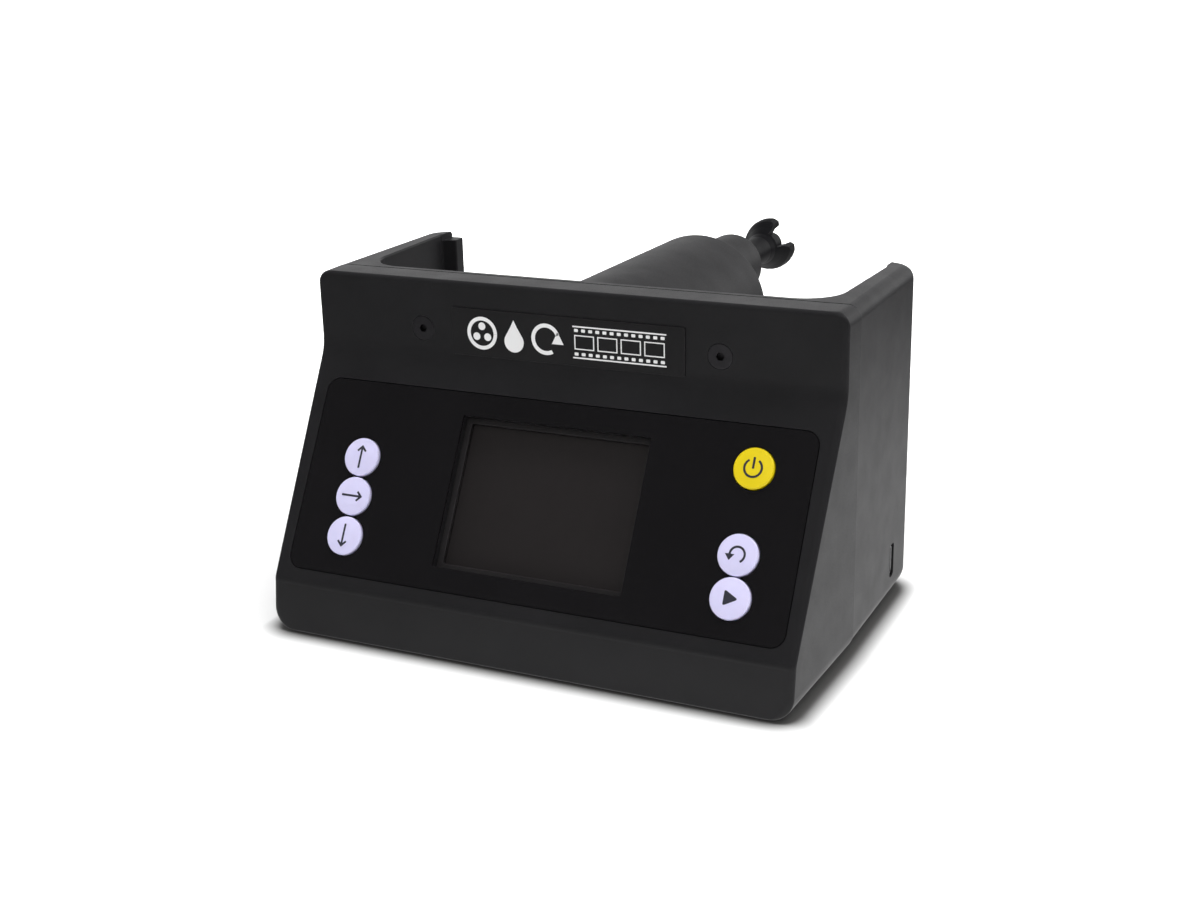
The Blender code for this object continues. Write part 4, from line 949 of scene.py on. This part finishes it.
def badge_marks():
    """Generic darkroom symbols: a reel, a drop, a turning arrow, and a strip of film beside them."""
    reel_x = -26.5 * MM
    solids = []

    def put(outline, x, y=0.0):
        solids.append(prism([(px + x, py + y) for px, py in outline], 0, 0.08 * MM))

    put(ring_part(4.3 * MM, 0, 359.5, 1.1 * MM, 48), reel_x)
    for k in range(3):
        dot = arc((0, 0), 1.15 * MM, 0, tau * 15 / 16, 15)
        angle = radians(90 + 120 * k)
        put(dot, reel_x + 2.05 * MM * cos(angle), 2.05 * MM * sin(angle))
    put(drop_outline(3.1 * MM), -16.2 * MM, -1.7 * MM)
    turning = ring_part(4.0 * MM, 20, 300, 1.15 * MM, 40)
    turning_x = -6.0 * MM
    put(turning, turning_x)
    arrowhead = [(-0.1 * MM, -2.2 * MM), (3.6 * MM, -2.2 * MM), (1.75 * MM, 1.4 * MM)]
    put(arrowhead, turning_x + 2.0 * MM, 1.0 * MM)

    strip_low, strip_high = 2.5 * MM, 31.0 * MM
    for y in (-4.5 * MM, 4.5 * MM):
        put(rectangle(strip_low, strip_high, y - 0.2 * MM, y + 0.2 * MM), 0)
    holes = 13
    pitch = (strip_high - strip_low) / holes
    hole = rectangle(-0.6 * MM, 0.6 * MM, -0.45 * MM, 0.45 * MM, 0.2 * MM, 2)
    for k in range(holes):
        for y in (-3.4 * MM, 3.4 * MM):
            put(hole, strip_low + pitch * (k + 0.5), y)
    frames = 4
    width = (strip_high - strip_low) / frames
    for k in range(frames):
        middle = strip_low + width * (k + 0.5)
        half = width / 2 - 0.5 * MM
        put(ring_rectangle(half, 2.1 * MM, 0.32 * MM), middle)
    return together(*solids)


def ring_rectangle(half_x, half_y, border):
    """A rectangular frame as one outline, slit at its left side."""
    outer = rectangle(-half_x, half_x, -half_y, half_y)
    inner = rectangle(-half_x + border, half_x - border, -half_y + border, half_y - border)
    slit = 0.004 * MM
    upper_lip = [(-half_x, -half_y + slit), (-half_x + border, -half_y + border + slit)]
    lower_lip = [(-half_x + border - slit, -half_y + border)]
    return outer + upper_lip + inner[:0:-1] + lower_lip


def add_badge():
    outline = within(BADGE_LOW, BADGE_HIGH, 0, 0.6 * MM, 4, axis="Y")
    plate = add_object("badge", prism(outline, BADGE_LOW.y, BADGE_HIGH.y, "Y"))
    soften(plate, 0.14 * MM)
    finish_piece(plate, "badge_plastic", stands_for="badge_plate")
    middle_z = (BADGE_LOW.z + BADGE_HIGH.z) / 2
    marks = moved(badge_marks(), (0, BADGE_LOW.y + 0.03 * MM, middle_z), ALONG_MINUS_Y)
    finish_piece(add_object("badge_symbols", marks), "badge_plastic", look=WHITE_INK)


def add_screw(name, node, place, slot, head_radius, head, shank_radius, length, socket, cone=0.0):
    """A screw with a hexagon socket, made with its head's underside at Z = 0, then put in place."""
    corners = [
        (0, -length), (shank_radius * 0.6, -length), (shank_radius, -length + shank_radius * 0.6),
        (shank_radius, -cone), (head_radius, 0), (head_radius, head), (0, head),
    ]
    edge = 0.12 * MM
    profile = rounded(corners, [0, edge, edge, 0, edge, edge * 1.5, 0], 4, closed=False)
    screw = add_object(name, moved(turned(profile, 48), (0, 0, 0), place))
    depth = 0.8 * (head + 1.5 * MM)
    hexagon = arc((0, 0), socket, 0, tau * 5 / 6, 5)
    cut(screw, moved(prism(hexagon, head - depth, head + MM), (0, 0, 0), place))
    soften(screw, 0.06 * MM, 1)
    finish_piece(screw, slot, stands_for=node, smooth=30)


def add_front_screws():
    seat_y = case_box("front_screw_right")[0].y + 0.3 * MM
    for side, (x, z) in zip(("left", "right"), FRONT_SCREW_SPOTS):
        place = Matrix.Translation((x, seat_y, z)) @ ALONG_MINUS_Y
        add_screw(
            "badge_screw_" + side, "front_screw_" + side, place, "black_screw", head_radius=3.6 * MM,
            head=0.3 * MM, shank_radius=1.4 * MM, length=9.3 * MM, socket=1.25 * MM, cone=2.2 * MM)


# Drive

def turned_along_y(name, corners, radii, z, steps=120):
    profile = rounded(corners, radii, 6, closed=False)
    return add_object(name, along_y(turned(profile, steps), 0, z))


def add_housing():
    root_y = HOUSING_LOW.y
    tip_y = HOUSING_HIGH.y
    corners = [
        (HOUSING_BORE, root_y), (HOUSING_HIGH.x, root_y), (HOUSING_TIP_RADIUS, tip_y), (0, tip_y),
        (0, tip_y - HOUSING_END), (HOUSING_BORE, tip_y - HOUSING_END), (HOUSING_BORE, root_y),
    ]
    housing = turned_along_y("housing", corners, [0, 0.3 * MM, 1 * MM, 0, 0, 0.5 * MM, 0], MOTOR_Z, 160)
    through_end = (84 * MM, 95 * MM)
    cut(housing, along_y(rod(6.3 * MM, *through_end, 48), 0, SHAFT_Z))
    for name in ("motor_screw_1", "motor_screw_2", "motor_screw_3"):
        centre = case_centre(name)
        cut(housing, along_y(rod(1.7 * MM, *through_end, 24), centre.x, centre.z))
        seat_y = case_box(name)[1].y - 2 * MM
        place = Matrix.Translation((centre.x, seat_y, centre.z)) @ ALONG_Y
        add_screw(
            "drive_" + name, name, place, "black_screw", head_radius=2.7 * MM, head=2 * MM,
            shank_radius=1.2 * MM, length=6.5 * MM, socket=1.25 * MM)
    finish_piece(housing, "housing_plastic", stands_for="motor_housing")


def add_nose():
    base_y = HOUSING_HIGH.y + GAP
    spigot = 6 * MM
    spigot_y = base_y - 3.6 * MM
    inner = SHAFT_RADIUS + 0.6 * MM
    pocket = 5.5 * MM
    floor_y = NOSE_TIP_Y - 10.2 * MM
    corners = [
        (inner, spigot_y), (spigot, spigot_y), (spigot, base_y), (NOSE_RADIUS + 0.5 * MM, base_y),
        (NOSE_RADIUS, NOSE_TIP_Y), (pocket, NOSE_TIP_Y), (pocket, floor_y), (inner, floor_y),
        (inner, spigot_y),
    ]
    radii = [0, 0.3 * MM, 0, 0.2 * MM, 1.2 * MM, 0.4 * MM, 0, 0.2 * MM, 0]
    nose = turned_along_y("nose", corners, radii, SHAFT_Z, 128)
    finish_piece(nose, "housing_plastic", stands_for="bearing_nose")

    low, high = case_box("shaft_seal")
    outer = high.x
    inner = SHAFT_RADIUS + 0.25 * MM
    corners = [
        (inner, low.y), (outer, low.y), (outer, high.y), (outer - 0.9 * MM, high.y),
        (outer - 1.2 * MM, high.y - 0.5 * MM), (inner + 0.4 * MM, high.y - 0.2 * MM),
        (inner, high.y - 0.7 * MM), (inner, low.y),
    ]
    radii = [value * MM for value in (0, 0.2, 0.2, 0.1, 0.2, 0.1, 0, 0)]
    seal = turned_along_y("seal", corners, radii, SHAFT_Z, 64)
    finish_piece(seal, "rubber", stands_for="shaft_seal")


def crown_slot(middle):
    """The outline of the wedge cut between two lobes, as (z, x) points about the shaft's axis."""
    spread = radians(30)
    wide = radians(47)
    edge = [(7.2 * MM, spread), (8.6 * MM, spread * 1.2), (9.2 * MM, wide), (15 * MM, wide)]
    polar = [(CROWN_HUB, middle + spread * k / 9) for k in range(-9, 10)]
    polar += [(r, middle + a) for r, a in edge]
    polar += [(r, middle - a) for r, a in reversed(edge)]
    return [(SHAFT_Z + r * sin(a), r * cos(a)) for r, a in polar]


def add_crown():
    tip = CROWN_HIGH.y
    root = CROWN_LOW.y
    bore = SHAFT_RADIUS + GAP
    bore_end = tip - 10.3 * MM
    corners = [
        (bore, root), (CROWN_STEM, root), (CROWN_STEM, CROWN_FLARE_Y - 3 * MM),
        (CROWN_STEM + 0.6 * MM, CROWN_FLARE_Y), (CROWN_RADIUS - 2 * MM, CROWN_FLARE_Y + 4 * MM),
        (CROWN_RADIUS - 0.5 * MM, CROWN_FLARE_Y + 7 * MM), (CROWN_RADIUS, tip - 3 * MM), (CROWN_RADIUS, tip),
        (CROWN_RADIUS - 2 * MM, tip), (CROWN_RADIUS - 2.8 * MM, tip - 4 * MM), (CROWN_HUB, tip - 5.5 * MM),
        (CROWN_HUB - 0.1 * MM, tip - 0.2 * MM), (0, tip - 0.2 * MM), (0, bore_end), (bore, bore_end),
        (bore, root),
    ]
    radii = [value * MM for value in (0, 0.4, 2, 3, 3, 3, 2, 0.8, 0.4, 0.8, 0.8, 0.9, 0, 0, 0, 0)]
    crown = turned_along_y("crown", corners, radii, SHAFT_Z, 96)
    wedges = [
        prism(crown_slot(CROWN_SLOT_ANGLE + turn), CROWN_FLARE_Y + MM, tip + 5 * MM, "Y") for turn in (0, pi)
    ]
    cut(crown, *wedges)
    soften(crown, 0.3 * MM, 3)
    finish_piece(crown, "housing_plastic", "drive", "crown_coupling", look=CROWN_PLASTIC)


# Underside and charging socket

CORNERS = ("front_left", "front_right", "rear_left", "rear_right")


def add_feet():
    for corner in CORNERS:
        name = "foot_" + corner
        low, high = case_box(name)
        radius = (high.x - low.x) / 2
        top = CASE_BOTTOM - GAP
        corners = [
            (0, 0.5 * MM), (radius * 0.55, 0.5 * MM), (radius * 0.62, low.z), (radius, low.z), (radius, top),
            (1.8 * MM, top), (1.8 * MM, high.z), (0, high.z),
        ]
        radii = [0, 0.3 * MM, 0.3 * MM, 0.7 * MM, 0.2 * MM, 0, 0.4 * MM, 0]
        solid = turned(rounded(corners, radii, 5, closed=False), 56)
        centre = case_centre(name)
        foot = add_object("rubber_" + name, moved(solid, (centre.x, centre.y, 0)))
        finish_piece(foot, "rubber", stands_for=name)


def add_base_screws():
    for corner in CORNERS:
        name = "base_screw_" + corner
        centre = case_centre(name)
        seat_z = case_box(name)[0].z + 0.6 * MM
        place = Matrix.Translation((centre.x, centre.y, seat_z)) @ Matrix.Rotation(pi, 4, "X")
        add_screw(
            "socket_" + name, name, place, "steel", head_radius=3 * MM, head=0.6 * MM,
            shank_radius=1.2 * MM, length=10 * MM, socket=1.3 * MM)


def add_usb_socket():
    low, high = case_box("usb_socket")
    half_y = (high.y - low.y) / 2
    middle_y = (high.y + low.y) / 2
    outer = within(low, high, 0, half_y * 0.92, 10, axis="X")
    shell = add_object("charging_socket", prism(outer, low.x, high.x, "X"))
    wall = 0.28 * MM
    mouth = within(low, high, wall, half_y * 0.9 - wall, 10, axis="X")
    cut(shell, prism(mouth, low.x + MM, high.x + MM, "X"))
    half = 0.35 * MM
    slab = rectangle(middle_y - half, middle_y + half, low.z + 1.4 * MM, high.z - 1.4 * MM, 0.15 * MM, 3)
    tongue = prism(slab, low.x + 0.5 * MM, high.x - 0.8 * MM, "X")
    soften(shell, 0.06 * MM, 1)
    finish_piece(shell, "steel", stands_for="usb_socket")
    finish_piece(add_object("charging_tongue", tongue), "component_black")
    contacts = []
    count = 8
    pitch = (high.z - low.z - 3.6 * MM) / count
    leaf = 0.03 * MM
    for k in range(count):
        z = low.z + 1.8 * MM + pitch * (k + 0.5)
        for y in (middle_y - 0.36 * MM, middle_y + 0.36 * MM):
            contacts.append(block(
                high.x - 4 * MM, high.x - 1.1 * MM, y - leaf, y + leaf, z - 0.25 * pitch, z + 0.25 * pitch))
    finish_piece(add_object("charging_contacts", together(*contacts)), "brass")


# Pieces that keep their CAD shape

def dress_cad_nodes():
    """Gives each CAD node that is still shown its material and fine edges."""
    slots = {part["node"]: part["material_slot"] for part in frame["record"]["subparts"]}
    for name, obj in frame["nodes"].items():
        if obj.hide_render:
            continue
        paint(obj, slots[name])
        add_bevel(obj, 0.12 * MM, 2, 40)
        even_shading(obj)


# Stage

def add_floor():
    """White to the camera, and dark close under the object with a painted contact shadow. Its reflection fades
    away from the right.
    """
    floor = add_object("floor", prism(rectangle(-4, 4, -4, 4), -0.01, 0))
    look = Look(bpy.data.materials.new("pale_floor"))
    base = look.mixed(look.between(look.noise(0.3), 0, 1), (0.8, 0.8, 0.8, 1), (0.83, 0.83, 0.83, 1))
    # Painted contact shadow: where ambient occlusion finds the object close above the floor, the floor's colour
    # turns dark.
    occlusion_for_painted_shadow = look.add("AmbientOcclusion", {"Distance": 7 * MM}, samples=32).outputs["AO"]
    clear = look.between(occlusion_for_painted_shadow, 0.05, 1.0, 0.55, 1.0)
    look.set("Base Color", look.mixed(clear, (0.04, 0.038, 0.037, 1), base))
    look.set("Roughness", 0.9)
    look.set("Specular IOR Level", 0.1)
    rays = look.add("LightPath").outputs
    reach = look.add("VectorMath", {0: look.place}, operation="LENGTH").outputs["Value"]
    lift = look.between(reach, 0.12, 1.3, 0.13, 0.7)
    # The floor glows to the camera only, more the farther it is from the object, and not at all in the painted
    # shadow.
    look.set("Emission Strength", look.product(look.product(rays["Is Camera Ray"], lift), clear))
    look.set("Emission Color", (1, 1, 1, 1))

    near = {0: look.place, 1: (0.12, 0.0, 0.0)}
    spread = look.add("VectorMath", near, operation="DISTANCE").outputs["Value"]
    mirrored = look.add("Emission", {"Strength": look.between(spread, 1.0, 0.12, 0.1, 0.42)})
    both = look.add("MixShader", {
        0: rays["Is Glossy Ray"], 1: look.shader.outputs["BSDF"], 2: mirrored.outputs["Emission"],
    })
    look.feed(look.tree.nodes["Material Output"].inputs["Surface"], both.outputs["Shader"])
    floor.data.materials.append(look.owner)


def add_light(name, place, size, power, mirrored=False):
    """A rectangular lamp aimed at the object; only a mirrored one shows in reflections."""
    target = Vector((0, 0, 0.05))
    light = bpy.data.lights.new(name, "AREA")
    light.shape = "RECTANGLE"
    light.size, light.size_y = size
    light.energy = power
    obj = bpy.data.objects.new(name, light)
    bpy.context.scene.collection.objects.link(obj)
    obj.location = place
    obj.rotation_euler = (target - Vector(place)).to_track_quat("-Z", "Y").to_euler()
    obj.visible_glossy = mirrored


def add_lights():
    add_light("top_softbox", (0.1, 0.4, 1.5), (1.6, 1.2), 24)
    add_light("front_softbox", (0.3, -1.1, 1.2), (1.4, 1.0), 7.5)
    add_light("right_softbox", (1.5, 0.5, 0.8), (1.0, 1.2), 9)
    add_light("left_softbox", (-1.4, -0.2, 0.9), (0.9, 0.9), 7)
    add_light("rim_strip", (0.75, 0.15, 1.0), (0.5, 0.18), 2.5, mirrored=True)


def add_world():
    """A white backdrop to the camera. Reflections see it bright low down behind the object only."""
    look = Look(bpy.data.worlds.new("studio"))
    parts = look.add("SeparateXYZ", {"Vector": look.coordinates["Generated"]}).outputs
    behind = look.between(parts["Y"], 0.0, 1.0, 0.1, 0.7)
    low = look.between(parts["Z"], 1.0, 0.12, 0.26, 0.48)
    lit = {0: look.product(behind, low), 1: 0.9, 2: 0.1}
    strength = look.add("Math", lit, operation="MULTIPLY_ADD").outputs[0]
    rays = look.add("LightPath").outputs
    shown = look.add("Mix", {0: rays["Is Glossy Ray"], 2: 0.35, 3: strength}, data_type="FLOAT").outputs[0]
    seen = look.add("Mix", {0: rays["Is Camera Ray"], 2: shown, 3: 1.0}, data_type="FLOAT").outputs[0]
    backdrop = look.tree.nodes["Background"].inputs
    look.feed(backdrop["Strength"], seen)
    look.feed(backdrop["Color"], (1, 1, 1, 1))
    bpy.context.scene.world = look.owner


def add_camera():
    camera = bpy.data.objects.new("camera", bpy.data.cameras.new("camera"))
    bpy.context.scene.collection.objects.link(camera)
    camera.data.lens = 50
    camera.data.clip_start = 0.01
    place = SEAM_PLACE + Vector((0.204412, -0.417014, 0.203487))
    right = Vector((0.90502, 0.42477, -0.02261))
    up = Vector((-0.11330, 0.29194, 0.94970))
    turn = Matrix((right, up, right.cross(up))).transposed()
    camera.matrix_world = Matrix.Translation(place) @ turn.to_4x4()
    bpy.context.scene.camera = camera


add_front_shell()
add_rear_shell()
add_overlay()
add_display()
add_buttons()
add_badge()
add_front_screws()
add_housing()
add_nose()
add_crown()
add_feet()
add_base_screws()
add_usb_socket()
dress_cad_nodes()
add_floor()
add_lights()
add_world()
add_camera()
bpy.context.scene.view_settings.view_transform = "Standard"
